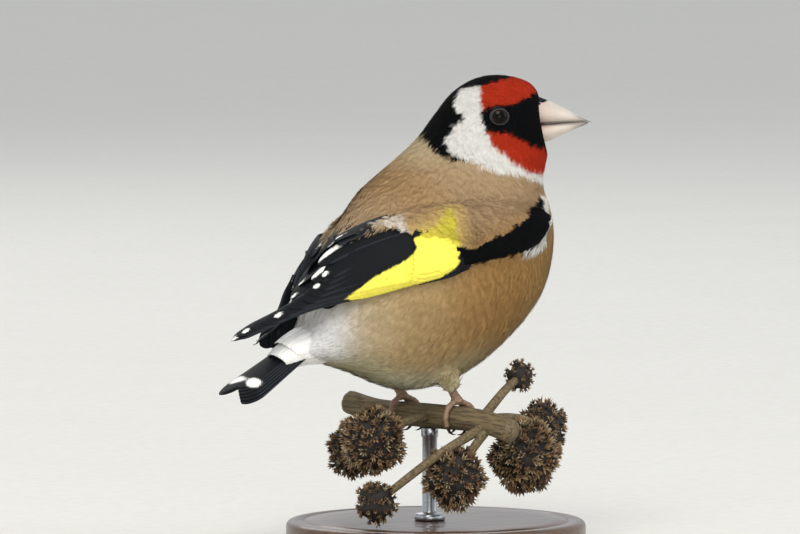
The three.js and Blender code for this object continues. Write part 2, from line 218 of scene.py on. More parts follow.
class Shell:
    """Gathers closed parts and makes one mesh object of them."""

    def __init__(self, name: str, *parts: Part) -> None:
        """Starts with the given parts.

        Args:
            name: The object's name.
            parts: The vertices and the faces of each part.
        """
        self.name, self.points, self.faces, self.count = name, [], [], 0
        for part in parts:
            self.add(*part)

    def add(self, points: Array, faces: Faces) -> None:
        """Adds one more part, with its faces numbered from its own first vertex."""
        self.points.append(np.asarray(points, float))
        self.faces += [tuple(self.count + i for i in face) for face in faces]
        self.count += len(points)

    def made(self, material: Material | None = None) -> Piece:
        """Makes the object, smooth-shaded, with its faces turned outwards.

        Args:
            material: The finish of every face.

        Returns:
            The new object, linked to the scene.
        """
        mesh = bpy.data.meshes.new(self.name)
        mesh.from_pydata((np.vstack(self.points) * MM).tolist(), [], self.faces)
        mesh.polygons.foreach_set("use_smooth", [True] * len(mesh.polygons))
        if material:
            mesh.materials.append(material)
        outwards = bmesh.new()
        outwards.from_mesh(mesh)
        bmesh.ops.recalc_face_normals(outwards, faces=outwards.faces)
        outwards.to_mesh(mesh)
        outwards.free()
        return placed(self.name, mesh)


def grid_faces(rows: int, columns: int, around: bool = True) -> Faces:
    """Lists the faces of a grid of vertices, row after row.

    Args:
        rows: How many rows of vertices there are.
        columns: How many vertices a row has.
        around: Whether each row closes on itself.

    Returns:
        Four corners a face.
    """
    corners = ((0, 0), (0, 1), (1, 1), (1, 0))
    starts = [(r, c) for r in range(rows - 1) for c in range(columns if around else columns - 1)]
    return [tuple((r + i) * columns + (c + k) % columns for i, k in corners) for r, c in starts]


def capped(rows: int, columns: int) -> Faces:
    """Lists the faces of rings of vertices with a pole vertex after them at each end."""
    first, last, top = rows * columns, rows * columns + 1, (rows - 1) * columns
    ends = [(first, (c + 1) % columns, c) for c in range(columns)]
    ends += [(last, top + c, top + (c + 1) % columns) for c in range(columns)]
    return grid_faces(rows, columns) + ends


def tube(path: Array, radii: Array, sides: int = 12, flat: float = 1.0) -> Part:
    """Builds a closed round bar along a path.

    Args:
        path: The middle of each ring.
        radii: The radius of each ring.
        sides: How many vertices a ring has.
        flat: How high a ring is for its width.

    Returns:
        The bar's vertices and faces.
    """
    path = np.asarray(path, float)
    along = unit(np.gradient(path, axis=0))
    hint = np.array([0.0, 0.0, 1.0]) if abs(along[0, 2]) < 0.8 else np.array([0.0, 1.0, 0.0])
    across = []
    for direction in along:
        across.append(unit(np.cross(hint, direction)))
        hint = np.cross(direction, across[-1])
    across = np.array(across)
    up = flat * np.cross(along, across)
    c, s = (wave(circle(sides))[None, :, None] for wave in (np.cos, np.sin))
    ring = path[:, None] + np.asarray(radii)[:, None, None] * (across[:, None] * c + up[:, None] * s)
    ends = [path[0] - along[0] * radii[0] * 0.4, path[-1] + along[-1] * radii[-1] * 0.4]
    return np.vstack([ring.reshape(-1, 3), ends]), capped(len(path), sides)


def lathe(profile: Array, sides: int, middle: Array) -> Part:
    """Turns a profile of radius and height about an upright line.

    Args:
        profile: Radius and height, from the lower end on the axis to the upper one.
        sides: How many vertices a ring has.
        middle: Where the line stands.

    Returns:
        The shape's vertices and faces.
    """
    turn = circle(sides)
    rings = [np.stack([r * np.cos(turn), r * np.sin(turn), np.full(sides, z)], 1) for r, z in profile[1:-1]]
    poles = [[0, 0, profile[0][1]], [0, 0, profile[-1][1]]]
    return np.vstack(rings + [poles]) + middle, capped(len(rings), sides)


def plain_copy(source: Piece, name: str) -> Piece:
    """Turns an object with its modifiers into a plain mesh object.

    Args:
        source: The object to evaluate. It is removed.
        name: The new object's name.

    Returns:
        The plain mesh object.
    """
    bpy.context.view_layer.update()
    seen = source.evaluated_get(bpy.context.evaluated_depsgraph_get())
    mesh = bpy.data.meshes.new_from_object(seen)
    made = placed(name, mesh)
    old = source.data
    bpy.data.objects.remove(source)
    bpy.data.meshes.remove(old)
    made.name = mesh.name = name
    return made


def read(mesh: Mesh, name: str, width: int, kind: type = float) -> Array:
    """Reads an attribute of a mesh into an array.

    Args:
        mesh: The mesh.
        name: The attribute's name, or "co" for the vertices' places and "normal" for their normals.
        width: How many numbers an element has.
        kind: The type of number.

    Returns:
        One row an element, or a flat array where width is 1.
    """
    plain = {"co": mesh.vertices, "normal": mesh.vertex_normals}
    data = plain[name] if name in plain else mesh.attributes[name].data
    field = "co" if name == "co" else "vector" if width == 3 else "value"
    values = np.empty(len(data) * width, kind)
    data.foreach_get(field, values)
    return values.reshape(-1, width) if width > 1 else values


def write(mesh: Mesh, name: str, values: Array) -> None:
    """Stores one number, vector or colour a vertex as a named attribute.

    Args:
        mesh: The mesh.
        name: The attribute's name.
        values: One row a vertex; four columns are a colour.
    """
    values = np.asarray(values, float)
    width = 1 if values.ndim == 1 else values.shape[1]
    kind, field = {1: ("FLOAT", "value"), 3: ("FLOAT_VECTOR", "vector"), 4: ("FLOAT_COLOR", "color")}[width]
    mesh.attributes.new(name, kind, "POINT").data.foreach_set(field, values.ravel())


def write_tint(mesh: Mesh, tint: Array) -> None:
    """Stores one linear colour a vertex as the tint."""
    write(mesh, "tint", np.hstack([tint, np.ones((len(tint), 1))]))


def write_uv(mesh: Mesh, name: str, places: Array) -> None:
    """Stores a UV map from one place a vertex."""
    corners = np.empty(len(mesh.loops), np.int64)
    mesh.loops.foreach_get("vertex_index", corners)
    mesh.uv_layers.new(name=name).data.foreach_set("uv", places[corners].ravel())


# Forms shared with the solids


@dataclass(frozen=True)
class BodyForm:
    """The body's closed form between a back line and a belly line, with the head turned."""

    stations: Rows = (
        (22, 91, 22, 91, 0), (23.2, 95.7, 22.6, 87, 3.9), (21.6, 99, 24.9, 84.6, 5.8),
        (16.4, 101, 24.5, 81.2, 7.5), (10, 100.7, 24.2, 78.3, 8.8), (4.2, 97.4, 24.8, 75.5, 9.9),
        (0.2, 92.4, 26.4, 72, 11.7), (-3.5, 87.2, 27.2, 67.5, 14.3), (-9.8, 81.2, 26.4, 61, 17.1),
        (-17.4, 74.8, 22.6, 52.6, 19.2), (-24.2, 66.8, 15.6, 45, 19.6), (-28, 60, 4.4, 37.2, 17.8),
        (-30, 54, -8.6, 34.4, 14.6), (-31.5, 49.3, -20, 38.4, 10.6), (-35, 45.2, -30, 41.4, 6),
        (-38, 42, -38, 42, 0),
    )
    head_turn: float = math.radians(-28)
    neck_axis_x: float = 8.0
    turn_starts_z: float = 70.0
    turn_ends_z: float = 84.0

    def turned(self, points: Array, way: float = 1.0) -> Array:
        """Turns the neck and head with the bird's glance, or back where way is -1."""
        angle = way * self.head_turn * smooth(points[:, 2], self.turn_starts_z, self.turn_ends_z)
        x, y = points[:, 0] - self.neck_axis_x, points[:, 1]
        c, s = np.cos(angle), np.sin(angle)
        return np.stack([self.neck_axis_x + x * c - y * s, x * s + y * c, points[:, 2]], 1)

    def points(self, t: Array, angle: Array) -> Array:
        """Places points on the form.

        Args:
            t: Shares of the way from the bill's root to the tail's root.
            angle: Turns about the body, 0 on the back and pi on the belly.

        Returns:
            One point a row.
        """
        rows = np.array(self.stations)
        back, belly = spline(rows[:, :2], t), spline(rows[:, 2:4], t)
        half = spline(np.stack([np.arange(len(rows)), rows[:, 4]], 1), t)[:, 1]
        middle = (back + belly) / 2 + (back - belly) / 2 * np.cos(angle)[:, None]
        return self.turned(np.stack([middle[:, 0], half * np.sin(angle), middle[:, 1]], 1))


@dataclass(frozen=True)
class WingForm:
    """A folded wing's outer face between its upper and lower edges."""

    side: Side
    upper: Rows = (
        (21, -11.6, 70.8), (15.5, -14.8, 73.6), (5.5, -16.4, 74.4), (-5, -15, 74.2), (-14, -11.2, 72.6),
        (-20.6, -6.8, 70), (-25.4, -2.8, 66.2), (-28.8, -1.4, 61.6), (-33.4, -1.4, 57.2), (-40, -1.7, 52.6),
        (-46, -2.2, 49), (-50.8, -2.8, 46.1),
    )
    lower: Rows = (
        (21, -11.6, 70.8), (18.2, -15, 66.4), (9.8, -18.6, 63.6), (0, -20.4, 62), (-9, -20.2, 60),
        (-18, -17.4, 57.6), (-26, -13.2, 55), (-32, -10, 52.8), (-38, -7.4, 50.6), (-43, -5.6, 48.8),
        (-47.5, -4.2, 47.2), (-50.8, -2.8, 46.1),
    )
    fullness: float = 3.1
    tip_thickness: float = 0.6

    def edge(self, points: Rows, t: Array) -> Array:
        """Places points along an edge on this wing's side, the left wing hung lower."""
        edge = np.array(points)
        if self.side is Side.LEFT:
            edge[:, 1] *= -1
            rear, tip = smooth(-edge[:, 0], 0, 30), smooth(-edge[:, 0], 22, 50)
            edge += np.stack([8 * tip, 1.6 * rear * (1 - tip), tip - 2.6 * rear], 1)
        return spline(edge, t)

    def points(self, t: Array, s: Array, lift: Array | float = 0.0) -> Array:
        """Places points on the wing's outer face.

        Args:
            t: Shares of the way from the shoulder to the tip of the primaries.
            s: Shares of the way from the upper edge to the lower one.
            lift: How far above the face the points stand.

        Returns:
            One point a row.
        """
        a, b = self.edge(self.upper, t), self.edge(self.lower, t)
        ahead = self.edge(self.upper, t + 0.02) - self.edge(self.upper, t - 0.02)
        out = unit(np.cross(ahead, a - b))
        out *= np.where(out[:, 1:2] * self.side.value < 0, -1.0, 1.0)
        full = self.fullness + (self.tip_thickness - self.fullness) * smooth(t, 0.5, 0.86)
        full = full * np.sqrt(np.minimum(1, np.clip(np.minimum(t, 1 - t), 0, 1) / 0.04))
        bow = (full + lift) * np.sin(np.pi * np.clip(s, 0, 1))
        edge_lift = lift * (1 - np.sin(np.pi * np.clip(s, 0, 1)))
        reach = (0.5 * np.cos(np.pi * s))[:, None] * (a - b) + (bow + 0.8 * edge_lift)[:, None] * out
        return (a + b) / 2 + reach


def scapular_edge(t: Array) -> Array:
    """Gives the share across the wing down to which the back's brown feathers cover it."""
    along = (0.0, 0.07, 0.14, 0.18, 0.23, 0.275, 0.30, 0.34, 0.38, 0.41, 0.44, 0.49, 0.56)
    across = (0.0, 0.17, 0.36, 0.51, 0.62, 0.66, 0.52, 0.50, 0.44, 0.28, 0.12, 0.04, 0.0)
    return np.interp(t, along, across)


@dataclass(frozen=True)
class PerchForm:
    """Where the stem, the feet and the seed heads are."""

    middle: Place = (-1.5, 0.0, 28.4)
    heading: Place = (0.26, -0.966, 0.0)
    stem_radius: float = 2.6
    foot_spacing: float = 17.0
    toe_radius: float = 0.65
    toe_spread: float = 3.1
    gap: float = 0.3
    seed_heads: Rows = (
        (-17.6, -4.6, 24.2, 7, 1), (-20.4, -11.4, 11.6, 4.6, 18.5), (-4, -15.6, 16.6, 6.6, 19),
        (13, -15.6, 20.6, 7.6, 16.5), (14.6, -10.6, 37, 3.2, 15.5), (22.6, -6, 25.4, 5.6, 14.5),
        (-10.5, 17.5, 20, 6, -15),
    )

    @property
    def toe_reach(self) -> float:
        """How far a toe's middle line lies from the stem's."""
        return self.stem_radius + self.gap + self.toe_radius

    @property
    def along(self) -> Array:
        """The way the stem runs, towards the right foot."""
        return unit(np.array(self.heading))

    @property
    def front(self) -> Array:
        """Level and square to the stem, towards the breast."""
        return np.array([-self.along[1], self.along[0], 0.0])

    def at(self, distance: float, lift: float = 0.0) -> Array:
        """A point on the stem's own line, or above it."""
        return np.array(self.middle) + distance * self.along + np.array([0, 0, lift])

    def foot(self, side: Side) -> Array:
        """The point of the stem's line under a foot."""
        return self.at(-side.value * self.foot_spacing / 2)

    def round(self, side: Side, degrees: Array, along: Array, radius: Array) -> Array:
        """Places points round the stem under a foot, 90 degrees on top and 0 in front."""
        angle = np.radians(degrees)
        ring = np.cos(angle)[:, None] * self.front + np.sin(angle)[:, None] * np.array([0, 0, 1.0])
        return self.foot(side) + np.asarray(along)[:, None] * self.along + np.asarray(radius)[:, None] * ring


# Markings


def view_axes() -> tuple[Array, Array, Array]:
    """Gives the photograph's axes: to its right, up and towards the camera."""
    right = np.array([math.cos(VIEW_YAW), -math.sin(VIEW_YAW), 0.0])
    level = np.array([right[1], -right[0], 0.0])
    back = math.cos(VIEW_LIFT) * level + np.array([0, 0, math.sin(VIEW_LIFT)])
    return right, np.cross(back, right), back


def flank_view(points: Array) -> Array:
    """Gives places across and up as the photograph shows them, the left side's as if on the right."""
    near = np.stack([points[:, 0], -np.abs(points[:, 1]), points[:, 2]], 1)
    return near @ np.stack(view_axes()[:2], 1)


@dataclass(frozen=True)
class Markings:
    """The plumage's colours, as functions of the place on the bird."""

    body: BodyForm = BodyForm()
    white_face: Outline = (
        (7.4, 98.7), (11.2, 99.2), (11.3, 94.5), (11.9, 92.3), (13.5, 87.2), (19.6, 81.9), (24.4, 81.1),
        (27, 79.5), (26.2, 77.9), (22.6, 78.4), (19, 80.4), (12, 82.7), (7.8, 85), (4.4, 86.3), (4.1, 88.6),
        (5.2, 91.4), (8.2, 92.7), (5.8, 94.4), (5.9, 96.6),
    )
    crown: Outline = (
        (18.6, 100.4), (14.8, 99.7), (11.6, 99), (7.4, 98.7), (5.9, 96.6), (5.8, 94.4), (8.2, 92.7),
        (5.2, 91.4), (4.1, 88.6), (4.4, 86.3), (7.8, 85), (5.4, 84.4), (2, 86.4), (-1, 89.4), (-6, 93),
        (-6, 106), (18.8, 106),
    )
    mask: Outline = (
        (11.2, 99.2), (11.6, 99), (14.8, 99.7), (18.6, 100.4), (18.8, 106), (32, 106), (32, 81),
        (24.6, 80.9), (23.1, 80.6), (19.8, 81.8), (13.5, 87.1), (12.2, 90.2), (11.3, 94.5),
    )
    lores: Outline = (
        (11.3, 94.3), (14.1, 94.9), (18.6, 95.2), (21.5, 96.5), (23.3, 97.3), (32, 97.5), (32, 84.8),
        (24.5, 85.4), (21.6, 86.4), (19.6, 88), (17, 89.2), (14.5, 89.6), (12.2, 90.2), (11.4, 92.2),
    )
    # These outlines lie in the flank's view.
    shoulder: Outline = (
        (21.9, 75.2), (23.4, 73.8), (24.4, 70.8), (24.1, 68.1), (22.4, 65.1), (19.5, 63.3), (14.7, 62.1),
        (5.2, 60), (2, 58.5), (2, 64.1), (5.8, 64.2), (8.2, 63.8), (10.9, 65.4), (15.8, 67.6), (19.2, 70.3),
    )
    rim: Outline = (
        (21.8, 75.6), (23.6, 74.9), (25.2, 71.5), (25.5, 68.7), (24, 65.2), (21.3, 62.9), (17.6, 62.2),
        (22, 65.1), (24, 68.1), (24.2, 70.8),
    )
    gold: Outline = (
        (-19.4, 53.1), (-12.8, 58), (-5.5, 61.8), (-4, 64), (-4.9, 65.9), (-2.3, 67), (1.9, 68.7),
        (3.4, 70.4), (4, 71.4), (5.8, 71), (5.5, 67.4), (5, 64.1), (5.3, 63.2), (4.3, 61.9), (5.1, 61),
        (4.5, 60), (0.9, 57.7), (-8.7, 55), (-16.4, 52.9),
    )
    cream: Outline = (
        (-12.5, 69.6), (-9, 71), (-5.2, 69.8), (-3.6, 66.2), (-4.3, 64.4), (-7.5, 65.2), (-11.5, 66.4),
        (-14.5, 67.8),
    )
    white: Colour = colour(0xF8F5EE)
    black: Colour = colour(0x0A0B0D)
    red: Colour = colour(0xC0351C)
    # Each row has a place on the upright half of the body, how far its colour reaches and the colour.
    field: Rows = (
        (4, 9, 84, 6, 0xCDB28C), (-1, 3, 88, 4, 0xDAC6A2), (-9, 6, 79, 7, 0xC09B6C),
        (3, 13, 78, 6, 0xB79873), (-18, 6, 72, 6, 0xC9AC86), (-25, 4, 64, 5, 0xD2C3AB),
        (-30, 0, 56, 5, 0xEFEBE4), (-34, 0, 48, 4, 0xF8F7F4), (19, 11, 73, 5, 0xB39370),
        (26, 3, 72, 4, 0xEADFCE), (27, 0, 64, 5, 0xDCCBAC), (22, 10, 62, 6, 0xB79159),
        (12, 17, 58, 7, 0xAE8550), (15, 12, 50, 6, 0xB38D55), (19, 0, 49, 6.5, 0xEBE4CE),
        (2, 18, 52, 6, 0xB88F5A), (-9, 17, 50, 6, 0xC4A675), (4, 12, 41, 5, 0xCDBD90),
        (6, 0, 38, 6, 0xECE6CC), (-8, 6, 36, 5, 0xE8E2C0), (-19, 13, 50, 4.5, 0xD2BC94),
        (-27, 9, 48, 4.5, 0xFFFFFF), (-18, 6, 41, 4.5, 0xDFD6AE), (-31, 3, 43, 4, 0xEFEDE8),
    )

    def body_colour(self, points: Array) -> Array:
        """Blends the colours of the places near each point."""
        upright = np.stack([points[:, 0], np.abs(points[:, 1]), points[:, 2]], 1)
        total, weights = np.zeros((len(points), 3)), np.zeros(len(points))
        for x, y, z, reach, code in self.field:
            far = ((upright - (x, y, z)) ** 2).sum(1)
            weight = np.exp(-far / (2 * (0.85 * reach) ** 2)) + 1e-9 / (1 + far)
            total += weight[:, None] * np.array(colour(code))
            weights += weight
        return total / weights[:, None]

    def tints(self, points: Array, wing_t: Array, wing_s: Array, ragged: Array) -> Array:
        """Gives each point its plumage colour.

        Args:
            points: The places.
            wing_t: The share along the wing, or -1 off the wings.
            wing_s: The share across the wing.
            ragged: How far each point's own marking strays.

        Returns:
            One linear colour a point.
        """
        tint = self.body_colour(points)
        stray = ragged[:, None] * (1.0, -0.6)
        profile = self.body.turned(points, -1.0)[:, (0, 2)] + stray
        on_body = wing_t < 0
        high = on_body & (points[:, 2] > 74)
        outlines = (self.white_face, self.crown, self.mask, self.lores)
        for outline, paint in zip(outlines, (self.white, self.black, self.red, self.black)):
            tint[high & (edge_distance(outline, profile) > 0)] = paint
        view = flank_view(points) + stray
        low = points[:, 2] < 78
        tint[~on_body & (wing_s > scapular_edge(wing_t) + 0.1) & (wing_t > 0.16)] = self.black
        inside = edge_distance(self.gold, view)
        for paint, low_edge, high_edge in ((0xE8C680, -3.6, -0.5), (0xF6E758, -0.5, 0.4)):
            share = smooth(inside, low_edge, high_edge)[:, None] * (~on_body)[:, None]
            tint = tint * (1 - share) + share * np.array(colour(paint))
        pale = smooth(edge_distance(self.cream, view), -0.9, 0.5)[:, None] * (~on_body)[:, None]
        tint = tint * (1 - pale) + pale * np.array(colour(0xFFF6E6))
        # The shoulder's markings end before the breast's front, nearer to its middle higher up.
        beside = np.abs(points[:, 1]) + 2 * ragged + 0.9 * (points[:, 2] - 69).clip(0, 6)
        black = (self.shoulder, self.black, 15.3)
        for outline, paint, inmost in ((self.rim, self.white, 12), (self.shoulder, self.white, 12), black):
            tint[low & (beside > inmost) & (edge_distance(outline, view) > 0)] = paint
        return tint


# Finishes


class Graph:
    """A short way to build a tree of nodes."""

    def __init__(self, tree: Tree) -> None:
        """Works on the given tree."""
        self.tree = tree

    def node(self, kind: str, inputs: dict[str, object] | None = None, **settings: object) -> Node:
        """Adds a node.

        Args:
            kind: The node's type name.
            inputs: Socket names with a value or another node's output each.
            settings: Properties set before the sockets.

        Returns:
            The new node.
        """
        made = self.tree.nodes.new(kind)
        for name, value in settings.items():
            setattr(made, name, value)
        for name, value in (inputs or {}).items():
            self.feed(made, name, value)
        return made

    def feed(self, node: Node, name: str, value: object) -> None:
        """Links or sets the node's enabled input of that name, which may end in its place, as in A.1."""
        base, _, place = name.partition(".")
        socket = [s for s in node.inputs if s.name == base and s.enabled][int(place or 0)]
        if isinstance(value, Socket):
            self.tree.links.new(value, socket)
        else:
            socket.default_value = value

    def value(self, kind: str, inputs: dict[str, object] | None = None, **settings: object) -> Socket:
        """Adds a node and gives its first enabled output."""
        return next(s for s in self.node(kind, inputs, **settings).outputs if s.enabled)

    def math(self, operation: str, *values: object) -> Socket:
        """Adds a Math node and gives its output."""
        inputs = {f"Value.{place}": value for place, value in enumerate(values)}
        return self.value("ShaderNodeMath", inputs, operation=operation)

    def ranged(self, value: Socket, low: float, high: float, start: float = 0.0, end: float = 1.0) -> Socket:
        """Maps the range from low to high onto that from start to end."""
        values = {"Value": value, "From Min": low, "From Max": high, "To Min": start, "To Max": end}
        return self.value("ShaderNodeMapRange", values)

    def blend(self, share: object, a: object, b: object, mode: str = "MIX") -> Socket:
        """Mixes two colours and gives the result."""
        a, b = (c if isinstance(c, Socket) else (*c, 1.0) for c in (a, b))
        inputs = {"Factor": share, "A": a, "B": b}
        return self.value("ShaderNodeMix", inputs, data_type="RGBA", blend_type=mode)


def grain_group() -> Tree:
    """Builds the shared group for fine streaks that follow a piece's own length.

    Returns:
        A group whose Value strays about 1 and whose Height feeds a bump.
    """
    found = bpy.data.node_groups.get("fine grain")
    if found:
        return found
    tree = bpy.data.node_groups.new("fine grain", "ShaderNodeTree")
    tree.interface.new_socket("Vector", in_out="INPUT", socket_type="NodeSocketVector")
    for name in ("Scale", "Strength", "Blotches", "Value", "Height"):
        way = "OUTPUT" if name in ("Value", "Height") else "INPUT"
        tree.interface.new_socket(name, in_out=way, socket_type="NodeSocketFloat")
    g = Graph(tree)
    vector, scale, strength, blotches = list(g.node("NodeGroupInput").outputs)[:4]
    broad_scale = g.math("MULTIPLY", scale, 0.08)
    fine, broad = (
        g.value("ShaderNodeTexNoise", {"Vector": vector, "Scale": size, "Detail": detail, "Roughness": rough})
        for size, detail, rough in ((scale, 3.0, 0.6), (broad_scale, 2.0, 0.5))
    )
    a = g.math("MULTIPLY", g.math("SUBTRACT", fine, 0.5), strength)
    b = g.math("MULTIPLY", g.math("SUBTRACT", broad, 0.5), blotches)
    g.node("NodeGroupOutput", {"Value": g.math("ADD", 1.0, g.math("ADD", a, b)), "Height": fine})
    return tree


class Finish:
    """What every finish shares: a material with a Principled shader, and the grain group."""

    name: str
    roughness: float

    def start(self) -> tuple[Material, Graph, Node]:
        """Starts a material.

        Returns:
            The material, its graph and its Principled shader.
        """
        made = bpy.data.materials.new(self.name)
        made.use_nodes = True
        shader = next(n for n in made.node_tree.nodes if n.type == "BSDF_PRINCIPLED")
        shader.inputs["Roughness"].default_value = self.roughness
        return made, Graph(made.node_tree), shader

    def grain(self, g: Graph, vector: Socket, scale: float, strength: float, blotches: float) -> list[Socket]:
        """Places the shared grain group with a finish's own values, and gives its value and its height."""
        values = {"Vector": vector, "Scale": scale, "Strength": strength, "Blotches": blotches}
        return list(g.node("ShaderNodeGroup", values, node_tree=grain_group()).outputs)

    def stretched(self, g: Graph, scale: Place = (1, 1, 1), heading: float = 0.0) -> Socket:
        """Gives Object coordinates, turned back by a heading and then stretched."""
        place = g.node("ShaderNodeTexCoord").outputs["Object"]
        turned = g.value("ShaderNodeMapping", {"Vector": place, "Rotation": (0.0, 0.0, -heading)})
        return g.value("ShaderNodeMapping", {"Vector": turned, "Scale": scale})

    def bump(self, g: Graph, shader: Node, height: Socket, strength: float, deep: float) -> None:
        """Feeds a bump of that depth in millimetres to the shader."""
        bump = g.value("ShaderNodeBump", {"Height": height, "Strength": strength, "Distance": deep * MM})
        g.feed(shader, "Normal", bump)


@dataclass(frozen=True)
class VaneFinish(Finish):
    """Flight and tail feathers: barbs on both sides of a shaft, with gold and pale markings."""

    name: str = "vane"
    roughness: float = 0.62
    dark: Colour = colour(0x0C0E12)
    # The lighter blue-grey that each vane turns towards its edges.
    worn: Colour = colour(0x33373D)
    gold: Colour = colour(0xF6EA5A)
    pale: Colour = colour(0xFAF8F3)
    barbs_per_mm: float = 5.5

    def material(self) -> Material:
        """Builds the material."""
        made, g, shader = self.start()
        vane = g.value("ShaderNodeUVMap", uv_map="vane")
        x, y, _ = g.node("ShaderNodeSeparateXYZ", {"Vector": vane}).outputs
        across = g.math("ABSOLUTE", y)
        slant = g.math("SUBTRACT", x, g.math("MULTIPLY", across, 1.1))
        barbs = g.value("ShaderNodeCombineXYZ", {"X": slant, "Y": g.math("MULTIPLY", y, 0.12)})
        value, height = self.grain(g, barbs, self.barbs_per_mm, 0.8, 0.5)
        stray = g.math("MULTIPLY", g.math("SUBTRACT", height, 0.5), 1.3)
        # Towards each vane's edges its dark turns a lighter blue-grey.
        edge = g.node("ShaderNodeAttribute", attribute_name="rim").outputs["Fac"]
        base = g.blend(g.math("MULTIPLY", edge, 0.75), self.dark, self.worn)
        for name, paint in (("gold", self.gold), ("pale", self.pale)):
            field = g.node("ShaderNodeAttribute", attribute_name=name).outputs["Fac"]
            base = g.blend(g.ranged(g.math("ADD", field, stray), -0.15, 0.15), base, paint)
        shaft = g.math("MULTIPLY", g.ranged(across, 0.16, 0.1), 0.12)
        base = g.blend(shaft, base, colour(0x0B0B0C))
        g.feed(shader, "Base Color", g.blend(1.0, base, value, "MULTIPLY"))
        g.feed(shader, "Specular IOR Level", 0.14)
        self.bump(g, shader, height, 0.5, 0.1)
        return made


@dataclass(frozen=True)
class GrainedFinish(Finish):
    """A plain body colour with streaks, a second colour in blotches and a bump."""

    name: str
    roughness: float
    base: Colour
    other: Colour
    scale_per_mm: float
    stretch: Place = (1.0, 1.0, 1.0)
    strength: float = 0.3
    blotches: float = 0.3
    depth_mm: float = 0.05
    heading: float = 0.0
    metallic: float = 0.0
    coat: float = 0.0

    def material(self) -> Material:
        """Builds the material."""
        made, g, shader = self.start()
        place = self.stretched(g, self.stretch, self.heading)
        value, height = self.grain(g, place, self.scale_per_mm / MM, self.strength, self.blotches)
        base = g.blend(g.ranged(height, 0.4, 0.65), self.base, self.other)
        g.feed(shader, "Base Color", g.blend(1.0, base, value, "MULTIPLY"))
        g.feed(shader, "Metallic", self.metallic)
        g.feed(shader, "Coat Weight", self.coat)
        g.feed(shader, "Roughness", g.ranged(height, 0.0, 1.0, self.roughness * 0.85, self.roughness * 1.2))
        self.bump(g, shader, height, 0.6, self.depth_mm)
        return made


@dataclass(frozen=True)
class TintedFinish(Finish):
    """Soft plumage, horn, wet eyes and dry bracts: the tint attribute with fine grain over it."""

    name: str
    roughness: float
    scale_per_mm: float
    strength: float
    depth_mm: float
    coat: float = 0.0
    shine: float = 0.5
    blotches: float = 0.25
    relief: float = 0.5

    def material(self) -> Material:
        """Builds the material."""
        made, g, shader = self.start()
        g.feed(shader, "Specular IOR Level", self.shine)
        tint = g.node("ShaderNodeAttribute", attribute_name="tint")
        value, height = self.grain(g, self.stretched(g), self.scale_per_mm / MM, self.strength, self.blotches)
        g.feed(shader, "Base Color", g.blend(1.0, tint.outputs["Color"], value, "MULTIPLY"))
        g.feed(shader, "Coat Weight", self.coat)
        self.bump(g, shader, height, self.relief, self.depth_mm)
        return made


# The hull that the plumage lies on


